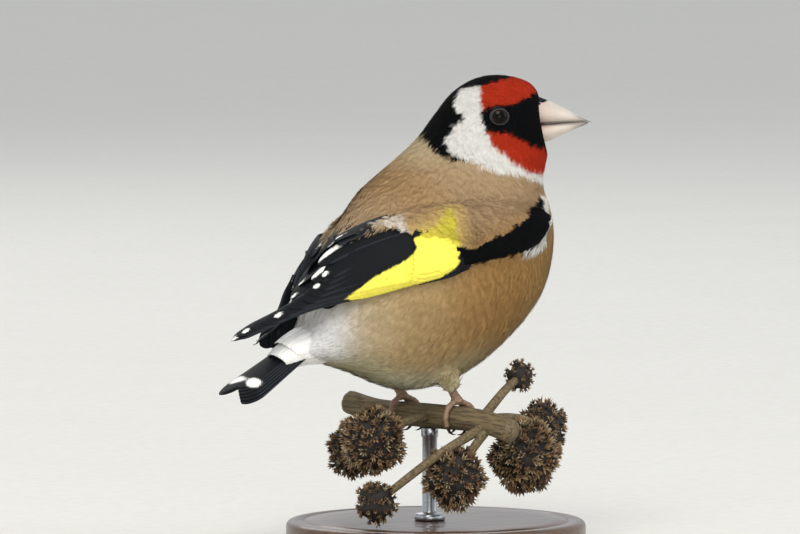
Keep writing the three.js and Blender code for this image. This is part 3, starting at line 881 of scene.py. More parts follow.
class Hull:
    """The body with its folded wings and thighs as one smooth closed form, a coat's depth inside."""

    def __init__(self, body: BodyForm, perch: PerchForm, voxel: float = 0.55) -> None:
        """Builds the hull's mesh and a table of places on the forms to look up.

        Args:
            body: The body's form.
            perch: Where the feet are.
            voxel: The hull's finest detail.
        """
        self.body, self.noted = body, []
        shell = Shell("hull")
        rows, columns = 149, 120
        t, angle = crossed(shares(rows + 2)[1:-1], circle(columns))
        rings = body.points(t, angle)
        ends = body.points(np.array([0.0, 1.0]), np.zeros(2))
        shell.add(np.vstack([rings, ends]), capped(rows, columns))
        self.note(rings, body.points(t + 0.004, angle), 0, t, angle)
        for label, side in enumerate(Side, 1):
            self.add_wing(shell, WingForm(side), label)
            self.add_thigh(shell, perch, side)
        places, self.flow, self.label, self.param = (np.concatenate(values) for values in zip(*self.noted))
        self.tree = KDTree(len(places))
        for i, point in enumerate(places):
            self.tree.insert(point, i)
        self.tree.balance()
        hull = shell.made()
        remesh = hull.modifiers.new("one skin", "REMESH")
        remesh.mode, remesh.voxel_size = "VOXEL", voxel * MM
        self.object = plain_copy(hull, "skin")
        self.relax(self.object.data, 28)

    def note(self, points: Array, ahead: Array, label: int, t: Array, s: Array) -> None:
        """Remembers where places on a form lie and which way its feathers point."""
        self.noted.append((points, unit(ahead - points), np.full(len(points), label), np.stack([t, s], 1)))

    def add_wing(self, shell: Shell, wing: WingForm, label: int) -> None:
        """Adds the part of a folded wing that lies on the body.

        Args:
            shell: The mesh it joins.
            wing: The wing's form.
            label: 1 for the right wing and 2 for the left one.
        """
        rows, columns, end = 60, 40, 0.68
        t, around = crossed(np.linspace(0.004, end, rows), np.linspace(0, 2, columns, endpoint=False))
        s = np.where(around <= 1, around, 2 - around)
        full = 1 - smooth(t, end - 0.2, end)
        upper, lower = wing.edge(wing.upper, t), wing.edge(wing.lower, t)
        chord = (upper + lower) / 2 + 0.5 * np.cos(np.pi * s)[:, None] * (upper - lower)
        lean = np.where(around <= 1, 0.2 + 0.8 * full, -1.2 * full - 0.1)
        rings = chord + lean[:, None] * (wing.points(t, s) - chord)
        rings += 0.4 * (1 - full[:, None]) * ((upper + lower) / 2 - rings)
        ends = np.stack([rings[:columns].mean(0), rings[-columns:].mean(0)])
        shell.add(np.vstack([rings, ends]), capped(rows, columns))
        t, s = crossed(np.linspace(0.0, 0.66, 80), shares(34))
        self.note(wing.points(t, s), wing.points(t + 0.01, s), label, t, s)

    def add_thigh(self, shell: Shell, perch: PerchForm, side: Side) -> None:
        """Adds a feathered thigh, down to the bare tarsus."""
        rings, sides = 14, 20
        pad = perch.foot(side)
        knots = ((8.4, 9.4, 46.0), (4.4, 9.2, 40.2), (1.4, 8.9, 35.2))
        knots = [(pad[0] - behind, side.value * out, z) for behind, out, z in knots]
        path = spline(knots, shares(rings))
        points, faces = tube(path, np.linspace(6.4, 1.9, rings), sides)
        shell.add(points, faces)
        low = points[sides * 5 : sides * rings]
        self.note(low, low + [0.3, 0, -1.0], 3, np.full(len(low), 0.84), np.full(len(low), np.pi))

    def relax(self, mesh: Mesh, rounds: int) -> None:
        """Smooths the hull and draws it inwards by the coat's depth.

        Args:
            mesh: The mesh to change.
            rounds: How often each vertex moves to the middle of its neighbours.
        """
        points = read(mesh, "co", 3)
        edges = np.empty(len(mesh.edges) * 2, np.int32)
        mesh.edges.foreach_get("vertices", edges)
        a, b = edges.reshape(-1, 2).T
        count = np.bincount(edges, minlength=len(points))[:, None]
        wings = [WingForm(side) for side in Side]
        crease = [wing.edge(wing.upper, np.linspace(0, 0.55, 40)) for wing in wings]
        crease = np.vstack(crease + [wing.edge(wing.lower, np.linspace(0, 0.2, 16)) for wing in wings])
        near = np.min([np.linalg.norm(points - place * MM, axis=1) for place in crease], 0) / MM
        filling = smooth(6.0 - near, 0.0, 4.0)[:, None]
        for step in range(rounds):
            total = np.stack(
                [np.bincount(a, v[b], len(v)) + np.bincount(b, v[a], len(v)) for v in points.T], 1
            )
            share = 0.6 if step % 2 == 0 else -0.61 + 1.2 * filling
            points = points + share * (total / count - points)
        mesh.vertices.foreach_set("co", points.ravel())
        mesh.update()
        found = self.look_up(points / MM)
        on_head = (self.label[found] == 0) & (self.param[found, 0] < 0.35)
        depth = np.where(on_head, 0.2 + 0.9 * self.param[found, 0], 0.55)
        points -= depth[:, None] * MM * read(mesh, "normal", 3)
        mesh.vertices.foreach_set("co", points.ravel())
        mesh.polygons.foreach_set("use_smooth", [True] * len(mesh.polygons))
        mesh.update()

    def look_up(self, points: Array) -> Array:
        """Finds the noted place nearest to each point."""
        return np.array([self.tree.find(point)[1] for point in points])

    def wing_places(self, found: Array) -> tuple[Array, Array]:
        """Gives the shares along and across the wing, or -1 off the wings."""
        on_wing = (self.label[found] == 1) | (self.label[found] == 2)
        return np.where(on_wing, self.param[found, 0], -1.0), np.where(on_wing, self.param[found, 1], 0.0)

    def chart(self, points: Array, found: Array) -> Array:
        """Unwraps places on the hull: the body's two halves side by side, then thighs and wings."""
        t, s = self.param[found].T
        label = self.label[found]
        right = points[:, 1] < 0
        turn = np.where(s > np.pi, 2 * np.pi - s, s) / np.pi
        body = np.stack([np.where(right, 0.02 + 0.3 * turn, 0.66 - 0.3 * turn), 0.02 + 0.94 * t], 1)
        thigh = points[:, (0, 2)] * 0.006 + np.stack([np.where(right, 0.76, 0.9), np.full(len(t), 0.64)], 1)
        wing = np.stack([0.70 + 0.27 * s, np.where(label == 1, 0.02, 0.42) + 0.36 * t], 1)
        return np.where((label == 0)[:, None], body, np.where((label == 3)[:, None], thigh, wing))


# What is scattered over a surface


@dataclass(frozen=True)
class Tuft:
    """One contour feather's tip: fine barbs that fan out from the shaft and lie in a low arch."""

    barbs: int = 7
    steps: int = 3
    spread: float = 0.42
    breadth: float = 0.085
    seed: int = 1

    def made(self, name: str) -> Piece:
        """Builds the feather along +X, one unit long, with its height kept in an attribute.

        Args:
            name: The object's name.

        Returns:
            The object, for Geometry Nodes to repeat.
        """
        rng = np.random.default_rng(self.seed)
        points, faces, rise, along = [], [], [], []
        for i in range(self.barbs):
            fan = 2 * i / (self.barbs - 1) - 1
            length = (1.0 - 0.22 * fan**2) * rng.uniform(0.88, 1.05)
            start = len(points)
            for k in range(self.steps + 1):
                u = k / self.steps
                x = 0.04 + (length - 0.04) * u
                y = self.spread * fan * (0.25 + 0.75 * u**0.8) + rng.normal(0, 0.012)
                half = self.breadth * (1.0 - 0.45 * u)
                place = ((x, y - half), (x, y + half)) if k < self.steps else ((x, y),)
                points += [(*spot, 0.0) for spot in place]
                rise += [0.02 + 0.15 * u + 0.05 * u * rng.uniform(-1, 1) - 0.1 * abs(fan) * u] * len(place)
                along += [u] * len(place)
            last = start + 2 * (self.steps - 1)
            faces += [(n, n + 2, n + 3, n + 1) for n in range(start, last, 2)]
            faces.append((last, last + 2, last + 1))
        local = np.array(points) * 0.9 + (0.05, 0.5, 0.0)
        return variant(name, points, faces, {"rise": rise, "along": along, "local": local})


@dataclass(frozen=True)
class Floret:
    """One dry floret of a seed head: stiff pointed bracts that open round a short stalk."""

    bracts: int = 6
    half_width: float = 0.15
    seed: int = 1

    def made(self, name: str) -> Piece:
        """Builds the floret along +X, one unit long.

        Args:
            name: The object's name.

        Returns:
            The object, for Geometry Nodes to repeat.
        """
        rng = np.random.default_rng(self.seed)
        points, along, faces = [], [], []
        for i in range(self.bracts):
            turn = 2 * np.pi * (i + rng.uniform(-0.25, 0.25)) / self.bracts
            open_by, length = rng.uniform(0.35, 0.95), rng.uniform(0.75, 1.1)
            ahead, out = np.array([1.0, 0, 0]), np.array([0, np.cos(turn), np.sin(turn)])
            side = np.cross(ahead, out)
            start = len(points)
            for u, half in ((0.0, 0.05), (0.45, self.half_width), (1.0, 0.0)):
                middle = length * (u * ahead * (1 - 0.35 * open_by * u) + open_by * 0.75 * u**1.2 * out)
                keel = 0.5 * half * (out - ahead)
                points += [middle + half * side, middle + keel, middle - half * side] if half else [middle]
                along += [u] * (3 if half else 1)
            bract = grid_faces(2, 3) + [(6, 3, 4), (6, 4, 5), (6, 5, 3), (2, 1, 0)]
            faces += [tuple(start + k for k in face) for face in bract]
        local = np.array(points) * 0.45 + (0.05, 0.5, 0.0)
        return variant(name, points, faces, {"rise": np.zeros(len(points)), "along": along, "local": local})


def variant(name: str, points: Array, faces: Faces, values: dict[str, Array]) -> Piece:
    """Makes a small object for Geometry Nodes to repeat, with its attributes."""
    mesh = bpy.data.meshes.new(name)
    mesh.from_pydata(points, [], faces)
    for key, value in values.items():
        write(mesh, key, value)
    return bpy.data.objects.new(name, mesh)


class ScatterTree:
    """Geometry Nodes that scatter variants of a small shape over a surface, following its flow."""

    def __init__(self, draped: bool) -> None:
        """Builds the tree with its named inputs.

        Args:
            draped: Whether the shapes lie along the surface at their own small height.
        """
        name = "draped scatter" if draped else "standing scatter"
        self.tree = bpy.data.node_groups.new(name, "GeometryNodeTree")
        self.g = Graph(self.tree)
        named = {"Surface": "Geometry", "Variants": "Collection", "Finish": "Material", "Seed": "Int"}
        named |= dict.fromkeys(("Spacing", "Length", "Width", "Stray"), "Float")
        face = self.tree.interface
        self.identifiers = [
            face.new_socket(name, in_out="INPUT", socket_type=f"NodeSocket{kind}").identifier
            for name, kind in named.items()
        ]
        face.new_socket("Cover", in_out="OUTPUT", socket_type="NodeSocketGeometry")
        self.given = self.g.node("NodeGroupInput").outputs
        shape = self.repeated(self.spots())
        if draped:
            shape = self.draped(shape)
        inputs = {"Geometry": shape, "Material": self.given["Finish"]}
        dressed = self.g.value("GeometryNodeSetMaterial", inputs)
        self.g.node("NodeGroupOutput", {"Cover": dressed})

    def named(self, name: str, kind: str = "FLOAT") -> Socket:
        """Reads a named attribute."""
        return self.g.value("GeometryNodeInputNamedAttribute", {"Name": name}, data_type=kind)

    def chance(self, kind: str, low: float, high: float, step: int) -> Socket:
        """Draws a random value a point, from a seed of its own."""
        seed = self.g.math("ADD", self.given["Seed"], float(step))
        limits = {"Min": low, "Max": high, "Seed": seed}
        return self.g.value("FunctionNodeRandomValue", limits, data_type=kind)

    def stored(self, geometry: Socket, name: str, kind: str, source: str) -> Socket:
        """Stores what a field node gives as a named attribute of each point."""
        inputs = {"Geometry": geometry, "Name": name, "Value": self.g.value(source)}
        return self.g.value("GeometryNodeStoreNamedAttribute", inputs, data_type=kind, domain="POINT")

    def spots(self) -> Socket:
        """Spreads the points evenly over the covered part of the surface."""
        spacing = self.given["Spacing"]
        inputs = {
            "Mesh": self.given["Surface"],
            "Distance Min": spacing,
            "Density Max": self.g.math("DIVIDE", 3.0, self.g.math("MULTIPLY", spacing, spacing)),
            "Density Factor": self.named("cover"),
            "Seed": self.given["Seed"],
        }
        spots = self.g.value("GeometryNodeDistributePointsOnFaces", inputs, distribute_method="POISSON")
        rooted = self.stored(spots, "root", "FLOAT_VECTOR", "GeometryNodeInputPosition")
        return self.stored(rooted, "tuft", "INT", "GeometryNodeInputIndex")

    def repeated(self, points: Socket) -> Socket:
        """Puts a variant on each point, turned along the flow, and realizes them."""
        g = self.g
        out, flow = (self.named(name, "FLOAT_VECTOR") for name in ("out", "flow"))
        align = "FunctionNodeAlignRotationToVector"
        upright = g.value(align, {"Vector": out}, axis="Z")
        laid = g.value(align, {"Rotation": upright, "Vector": flow}, axis="X", pivot_axis="Z")
        stray = g.math("MULTIPLY", self.chance("FLOAT", -1.0, 1.0, 3), self.given["Stray"])
        swing = g.value("FunctionNodeAxisAngleToRotation", {"Axis": (0.0, 0.0, 1.0), "Angle": stray})
        both = {"Rotation": laid, "Rotate By": swing}
        turned = g.value("FunctionNodeRotateRotation", both, rotation_space="LOCAL")
        size = g.math("MULTIPLY", self.named("size"), self.chance("FLOAT", 0.8, 1.15, 5))
        length, width = (g.math("MULTIPLY", size, self.given[name]) for name in ("Length", "Width"))
        choice = {"Collection": self.given["Variants"], "Separate Children": True, "Reset Children": True}
        inputs = {
            "Points": points,
            "Instance": g.value("GeometryNodeCollectionInfo", choice),
            "Pick Instance": True,
            "Instance Index": self.chance("INT", 0, 2, 7),
            "Rotation": turned,
            "Scale": g.value("ShaderNodeCombineXYZ", {"X": length, "Y": width, "Z": width}),
        }
        instances = g.value("GeometryNodeInstanceOnPoints", inputs)
        return g.value("GeometryNodeRealizeInstances", {"Geometry": instances})

    def draped(self, shapes: Socket) -> Socket:
        """Lays the shapes on the surface, each vertex at its own height."""
        g = self.g
        position = g.value("GeometryNodeInputPosition")
        near = {"Mesh": self.given["Surface"], "Sample Position": position}
        below, out = (
            g.value("GeometryNodeSampleNearestSurface", {**near, "Value": value}, data_type="FLOAT_VECTOR")
            for value in (position, self.named("out", "FLOAT_VECTOR"))
        )
        size = g.math("MULTIPLY", self.named("size"), self.given["Length"])
        rise = g.math("MULTIPLY", self.named("rise"), size)
        lift = g.math("MULTIPLY", self.named("lift"), g.math("ADD", 0.3, self.named("along")))
        risen = {"Vector": out, "Scale": g.math("ADD", rise, lift)}
        up = g.value("ShaderNodeVectorMath", risen, operation="SCALE")
        place = g.value("ShaderNodeVectorMath", {"Vector.0": below, "Vector.1": up}, operation="ADD")
        return g.value("GeometryNodeSetPosition", {"Geometry": shapes, "Position": place})

    def laid(
        self, bed: Piece, variants: Variants, finish: Material, seed: int, sizes: Array
    ) -> Piece:
        """Scatters over a bed, which must have the attributes cover, out, flow, size and lift.

        Args:
            bed: The surface's object, which is used up.
            variants: The small shapes to repeat.
            finish: Their material.
            seed: The seed of everything random.
            sizes: The spacing, length, width and stray.

        Returns:
            What was scattered, as a plain mesh object.
        """
        modifier = bed.modifiers.new("scatter", "NODES")
        modifier.node_group = self.tree
        spacing, length, width, stray = sizes
        given = (variants, finish, seed, spacing * MM, length * MM, width * MM, stray)
        for identifier, value in zip(self.identifiers[1:], given):
            modifier[identifier] = value
        return plain_copy(bed, bed.name)


def variants_of(kind: type, name: str, **shape: float) -> Variants:
    """Makes three variants of a small shape for a tree to pick from."""
    collection = bpy.data.collections.new(name)
    for i in range(3):
        collection.objects.link(kind(seed=i + 1, **shape).made(f"{name} {i + 1}"))
    return collection


def drop_variants(*collections: Variants) -> None:
    """Removes the variants when every piece is made."""
    for collection in collections:
        for item in list(collection.objects):
            bpy.data.objects.remove(item)
        bpy.data.collections.remove(collection)


def tuft_roots(mesh: Mesh) -> tuple[Array, Array]:
    """Gives the number of each vertex's tuft, and each tuft's root."""
    tuft = read(mesh, "tuft", 1, np.int32)
    roots = np.zeros((tuft.max() + 1, 3))
    roots[tuft] = read(mesh, "root", 3) / MM
    return tuft, roots


def patched(mesh: Mesh, chart: Array, tuft: Array, size: float) -> None:
    """Gives each tuft a small patch of the bake's UV map at its root's place."""
    write_uv(mesh, "OFBake", chart[tuft] + (read(mesh, "local", 3)[:, :2] - 0.5) * size)
    forget(mesh)


def forget(mesh: Mesh) -> None:
    """Removes the attributes that only the scattering needed."""
    for name in ("root", "tuft", "local", "rise", "along", "out", "flow", "size", "lift", "cover"):
        if name in mesh.attributes:
            mesh.attributes.remove(mesh.attributes[name])


# The coat


@dataclass
class Coat:
    """The body's plumage, one piece for each tract."""

    hull: Hull
    markings: Markings
    finish: Material
    eyes: tuple[Array, ...]
    # How long the feathers are at even steps from the bill's root to the tail's root.
    lengths: tuple[float, ...] = (
        0.6, 0.8, 1.1, 1.4, 1.7, 2.1, 2.8, 3.7, 4.6, 5.2, 5.5, 5.5, 5.4, 5.4, 5.6, 5.2,
    )
    longest: float = 5.6
    wing_covert_share: float = 0.42
    bare_eye_radius: float = 1.7
    seed: int = 7
    # The distance between tufts for each tract, in the tracts' order.
    spacing: tuple[float, ...] = (0.37, 0.49, 0.57, 0.57, 0.63, 0.53, 0.42)

    def tracts(self, points: Array, param: Array, wing_t: Array, wing_s: Array) -> dict[Tract, Array]:
        """Tells which points belong to which tract.

        Args:
            points: Places on the hull.
            param: The share along the body or wing, and the turn about the body.
            wing_t: The share along the wing, or -1 off the wings.
            wing_s: The share across the wing.

        Returns:
            A mask for each tract.
        """
        t, angle = param.T
        body = wing_t < 0
        scapular = ~body & (wing_s < scapular_edge(wing_t + 0.03)) & (wing_s < scapular_edge(wing_t) + 0.02)
        covert = ~body & ~scapular & (wing_t < 0.30) & ((wing_s < 1.0) | (wing_t < 0.2))
        upper = np.cos(angle) > -0.12
        hidden = (t > 0.655) & (np.cos(angle) > 0.8)
        clear = np.min([np.linalg.norm(points - eye, axis=1) for eye in self.eyes], 0) > self.bare_eye_radius
        return {
            Tract.HEAD: body & clear & (t > 0.012) & (t < 0.36),
            Tract.NECK: body & (t >= 0.36) & (t < 0.50),
            Tract.MANTLE: (body & (t >= 0.50) & (t < 0.80) & upper & ~hidden) | scapular,
            Tract.BREAST: body & (t >= 0.50) & (t < 0.67) & ~upper,
            Tract.BELLY: body & (t >= 0.67) & (t < 0.85) & ~upper,
            Tract.REAR: body & ((t >= 0.85) | ((t >= 0.80) & upper)) & (t < 0.985),
            Tract.SHOULDER: covert,
        }

    def build(self) -> list[Piece]:
        """Builds every tract's tufts.

        Returns:
            The plain mesh objects.
        """
        mesh = self.hull.object.data
        points, normals = read(mesh, "co", 3) / MM, read(mesh, "normal", 3)
        found = self.hull.look_up(points)
        wing_t, wing_s = self.hull.wing_places(found)
        param, flow = self.hull.param[found], self.hull.flow[found]
        on_body = wing_t < 0
        share = np.where(on_body, param[:, 0], 0.62)
        size = np.interp(share, shares(16), self.lengths) / self.longest
        on_covert = ~on_body & (wing_s > scapular_edge(wing_t))
        write(mesh, "out", normals)
        write(mesh, "flow", unit(flow - (flow * normals).sum(1, keepdims=True) * normals))
        short = ~on_body & (wing_t > 0.22)
        size = np.where(on_covert, self.wing_covert_share, np.where(short, 0.55 * size, size))
        view = flank_view(points)
        marked = [edge_distance(line, view) for line in (self.markings.rim, self.markings.shoulder)]
        marked = np.maximum(*marked)
        write(mesh, "size", size * np.where(points[:, 2] < 78, 0.32 + 0.68 * smooth(-marked, 0.0, 5.0), 1))
        write(mesh, "lift", np.where(~on_body & ~on_covert & (wing_t > 0.24), 0.55 * MM, 0.0))
        rng = np.random.default_rng(self.seed)
        # The skin under the tufts takes the markings at 0.7 of their brightness, as painted shade beneath the
        # coat.
        write_tint(mesh, 0.7 * self.markings.tints(points, wing_t, wing_s, rng.normal(0, 0.1, len(points))))
        mesh.materials.clear()
        mesh.materials.append(self.finish)
        fine = variants_of(Tuft, "fine tuft", barbs=6, steps=2, breadth=0.08)
        soft = variants_of(Tuft, "soft tuft", barbs=8, steps=3, breadth=0.055)
        tree = ScatterTree(draped=True)
        made = []
        for number, (tract, mask) in enumerate(self.tracts(points, param, wing_t, wing_s).items()):
            bed = placed(tract.value, mesh.copy())
            write(bed.data, "cover", mask.astype(float))
            sizes = (self.spacing[number], self.longest, 0.8 * self.longest, 0.3)
            tufts = fine if tract in (Tract.HEAD, Tract.SHOULDER) else soft
            coat = tree.laid(bed, tufts, self.finish, self.seed + 10 * number, sizes)
            self.colour(coat.data, self.seed + number)
            made.append(coat)
        drop_variants(fine, soft)
        forget(mesh)
        return made

    def colour(self, mesh: Mesh, seed: int) -> None:
        """Gives each tuft the marking at its root, and its patch in the coat's own UV map."""
        tuft, roots = tuft_roots(mesh)
        rng = np.random.default_rng(seed)
        found = self.hull.look_up(roots)
        wing_t, _ = self.hull.wing_places(found)
        t = np.where(wing_t < 0, self.hull.param[found, 0], 0.4)
        reach = 0.75 * np.interp(t, shares(16), self.lengths)
        tips = roots + reach[:, None] * self.hull.flow[found]
        tip_t, tip_s = self.hull.wing_places(self.hull.look_up(tips))
        tint = self.markings.tints(tips, tip_t, tip_s, rng.normal(0, 0.22, len(roots)))
        tint *= rng.normal(1, 0.06, (len(roots), 1)).clip(0.8, 1.2)
        # Each tuft darkens towards its root: partly the feather's own darker base, partly painted shade under
        # the tufts that overlap it.
        shaded = tint[tuft] * (0.84 + 0.2 * read(mesh, "along", 1))[:, None]
        write_tint(mesh, shaded.clip(0, 1))
        patched(mesh, self.hull.chart(roots, found), tuft, 0.003)


# Wings and tail


@dataclass(frozen=True)
class Vane:
    """One flight feather: a thin closed blade with a shaft, in place on its path."""

    path: Array
    out: Array
    width: float
    thickness: float = 0.14
    slant: float = 0.35
    camber: float = 0.25
    rows: int = 22
    columns: int = 8
    round_tip: float = 2.0

    def build(self) -> tuple[Array, Faces, Array]:
        """Builds the blade.

        Returns:
            Its vertices, its faces, and its own map, along and across.
        """
        steps = shares(len(self.path))
        u = 1 - (1 - shares(self.rows)) ** 1.35
        both = (self.path, np.broadcast_to(self.out, self.path.shape))
        path, out = (np.stack([np.interp(u, steps, line) for line in lines.T], 1) for lines in both)
        out = unit(out)
        along = unit(np.gradient(path, axis=0))
        side = unit(np.cross(out, along))
        run = run_along(path)
        share = run / run[-1]
        rest = np.clip((run[-1] - run) / self.width * self.round_tip / 1.4, 0, 1)
        half = 0.5 * self.width * np.sqrt(1 - (1 - rest) ** 2)
        half = np.maximum(half * (0.45 + 0.55 * smooth(share, 0.0, 0.35)), 0.04)
        v = np.linspace(-1, 1, self.columns)
        across = v[None, :] * half[:, None]
        back = -0.6 * self.slant * np.abs(across) * smooth(share, 0.6, 1.0)[:, None]
        sink = -self.camber * v[None, :] ** 2 * (half[:, None] / (0.5 * self.width))
        top = path[:, None] + across[..., None] * side[:, None] + back[..., None] * along[:, None]
        top = top + sink[..., None] * out[:, None]
        bottom = top - self.thickness * out[:, None]
        flat = np.stack([run[:, None] + back, across], -1).reshape(-1, 2)
        n, m = self.rows * self.columns, self.columns
        faces = grid_faces(self.rows, m, False)
        under = [tuple(n + i for i in reversed(face)) for face in faces]
        rim = [r * m for r in range(self.rows)] + [n - m + c for c in range(1, m)]
        rim += [r * m + m - 1 for r in range(self.rows - 2, -1, -1)] + list(range(m - 2, 0, -1))
        wall = [(a, b, n + b, n + a) for a, b in zip(rim, rim[1:] + rim[:1])]
        points = np.vstack([top.reshape(-1, 3), bottom.reshape(-1, 3)])
        return points, faces + under + wall, np.vstack([flat, flat])


class Feathers:
    """Gathers vanes with their markings into one piece."""

    def __init__(self, name: str) -> None:
        """Starts an empty piece."""
        self.shell, self.marks = Shell(name), []

    def add(self, vane: Vane, gold: Array | None = None, pale: Array | None = None) -> None:
        """Adds a vane.

        Args:
            vane: The feather.
            gold: How deep each vertex lies in a yellow marking, if there is one.
            pale: The same for white.
        """
        points, faces, flat = vane.build()
        self.shell.add(points, faces)
        marks = [np.full(len(points), -9.0) if mark is None else mark for mark in (gold, pale)]
        rim = smooth(np.abs(flat[:, 1]) / (0.5 * vane.width), 0.85, 1.0)
        self.marks.append((flat, np.full(len(points), len(self.marks)), *marks, rim))

    def made(self, material: Material) -> Piece:
        """Makes the piece with its attributes and its two maps."""
        piece = self.shell.made(material)
        flat, cell, *marks = (np.concatenate(values) for values in zip(*self.marks))
        for name, values in zip(("gold", "pale", "rim"), marks):
            write(piece.data, name, values)
        write_uv(piece.data, "vane", flat)
        side = math.ceil(math.sqrt(cell.max() + 1))
        run = (flat[:, 0] - flat[:, 0].min()) / np.ptp(flat[:, 0])
        packed = np.stack([cell % side + 0.05 + 0.9 * run, cell // side + 0.5 + flat[:, 1] / 10], 1)
        write_uv(piece.data, "OFBake", packed / side)
        return piece


@dataclass
class Wing:
    """A folded wing's feathers: primaries lowest, then secondaries, tertials and coverts."""

    form: WingForm
    body: BodyForm
    outline: Outline
    primary_tips: Outline = (
        (0.69, 0.66), (0.745, 0.66), (0.80, 0.66), (0.85, 0.62), (0.895, 0.56), (0.935, 0.50),
        (0.965, 0.46), (0.99, 0.50),
    )
    marked_primaries: tuple[int, ...] = (0, 2, 5, 7)
    # Each inner feather has its root, its tip, its width, its lift, and its white mark's length and width.
    inner: Rows = (
        (0.36, 0.42, 0.745, 0.42, 5.2, 0.05, 2, 0.8), (0.36, 0.26, 0.72, 0.26, 5.2, 0.15, 2, 0.8),
        (0.36, 0.12, 0.69, 0.08, 5.6, 0.25, 1.5, 0.7), (0.345, 0.44, 0.65, 0.50, 4.6, 0.75, 5, 1.4),
        (0.34, 0.31, 0.61, 0.36, 5, 0.90, 7, 1.5), (0.34, 0.17, 0.57, 0.18, 5, 1.05, 4.5, 0.8),
    )

    def vane(
        self, feathers: Feathers, ends: Array, width: float, lift: Pair, white: Pair = (0, 0), **shape: float
    ) -> None:
        """Adds one feather that runs over the wing's face.

        Args:
            feathers: The piece it joins.
            ends: Shares along and across the wing at its root, and then at its tip.
            width: Its full width.
            lift: How far above the wing's face its root and its tip lie.
            white: How long and how wide its white mark is.
            shape: Other sizes of the vane.
        """
        vane, twin = (self.laid(form, ends, width, lift, shape) for form in (self.form, WingForm(Side.RIGHT)))
        flat = vane.build()[2]
        seen = twin.build()[0].reshape(2, vane.rows, vane.columns, 3)
        if self.form.side is Side.LEFT:
            seen = seen[:, :, ::-1]
        gold = edge_distance(self.outline, flank_view(seen.reshape(-1, 3)))
        pale = None
        if white[0]:
            length, broad = white
            ahead = (flat[:, 0] - flat[:, 0].max() + 0.5 * length) * broad / length
            outer = -0.22 * width * self.form.side.value * (length > 3)
            pale = 0.5 * broad - np.hypot(ahead, flat[:, 1] + outer)
        feathers.add(vane, gold, pale)

    def laid(self, form: WingForm, ends: Array, width: float, lift: Pair, shape: dict[str, float]) -> Vane:
        """Lays one feather's path over a wing's face."""
        u = shares(24)
        t = ends[0] + (ends[2] - ends[0]) * u
        s = ends[1] + (ends[3] - ends[1]) * u**1.15
        height = lift[0] + (lift[1] - lift[0]) * u
        path = form.points(t, s, height)
        low, high = (form.points(t, (s + step).clip(0, 1), height) for step in (0.04, -0.04))
        out = unit(np.cross(np.gradient(path, axis=0), low - high))
        out *= np.where(out[:, 1:2] * form.side.value < 0, -1.0, 1.0)
        return Vane(path, out, width, **shape)

    def overlap(self, feathers: Feathers, t: Array, turn: float) -> None:
        """Adds an innermost feather, which lies over the back and hides it.

        Args:
            feathers: The piece it joins.
            t: Shares of the way along the body.
            turn: How far from the back's middle line it lies, as a turn about the body.
        """
        angle = np.full(len(t), self.form.side.value * turn)
        face = self.body.points(t, angle)
        out = unit(np.cross(np.gradient(face, axis=0), self.body.points(t, angle + 0.1) - face))
        out *= np.where(out[:, 2:] < 0, -1.0, 1.0)
        path = face + out * np.linspace(-0.4, 1.3 - turn, len(t))[:, None]
        feathers.add(Vane(path, out, 5.6, camber=0.5))

    def build(self, material: Material) -> Piece:
        """Builds the wing's feathers as one piece."""
        feathers = Feathers(f"wing_feathers_{self.form.side.label}")
        near = self.form.side is Side.RIGHT
        last = len(self.primary_tips) - 1
        for i, (tip, s) in enumerate(self.primary_tips):
            share = i / last
            white = (2.0, 1.1) if i in self.marked_primaries else (0.0, 0.0)
            ends, lift = (0.36, 0.82 + 0.12 * share, tip, s - 0.04), (-0.5, 0.25 - 0.5 * share)
            self.vane(feathers, ends, 3.9 - 0.5 * share, lift, white, round_tip=1.4)
        for i, share in enumerate(shares(5)):
            ends = (0.31, 0.46 + 0.36 * share, 0.605 + 0.09 * share, 0.52 + 0.12 * share)
            white = (1.7, 1.1) if i in (0, 2) else (0.0, 0.0)
            self.vane(feathers, ends, 4.3, (-0.3, 0.55 - 0.25 * share), white)
        for *ends, width, lift, long, broad in self.inner:
            self.vane(feathers, ends, width, (-0.9, lift if near else 0.3 * lift), (long, broad))
        for start, end, turn in ((0.62, 0.81, 0.42), (0.61, 0.785, 0.26), (0.60, 0.76, 0.1)):
            self.overlap(feathers, np.linspace(start, end, 20), turn)
        if self.form.side is Side.LEFT:
            for low, tip in ((1.6, 0.94), (3.4, 0.88), (5.0, 0.82)):
                path = self.form.points(np.linspace(0.56, tip, 20), np.full(20, 0.5))
                path = path - np.linspace(0.3, 1, 20)[:, None] * (0, 0.3 * low, low)
                feathers.add(Vane(path, unit(np.array([0.3, -1.0, 0.3])), 4.4))
        for share in shares(10):
            ends = (0.25 + 0.05 * share, 0.40 + 0.52 * share, 0.375 + 0.055 * share, 0.45 + 0.47 * share)
            self.vane(feathers, ends, 3.4, (-1.3, 0.5 - 0.1 * share), rows=14, slant=0.2)
        return feathers.made(material)


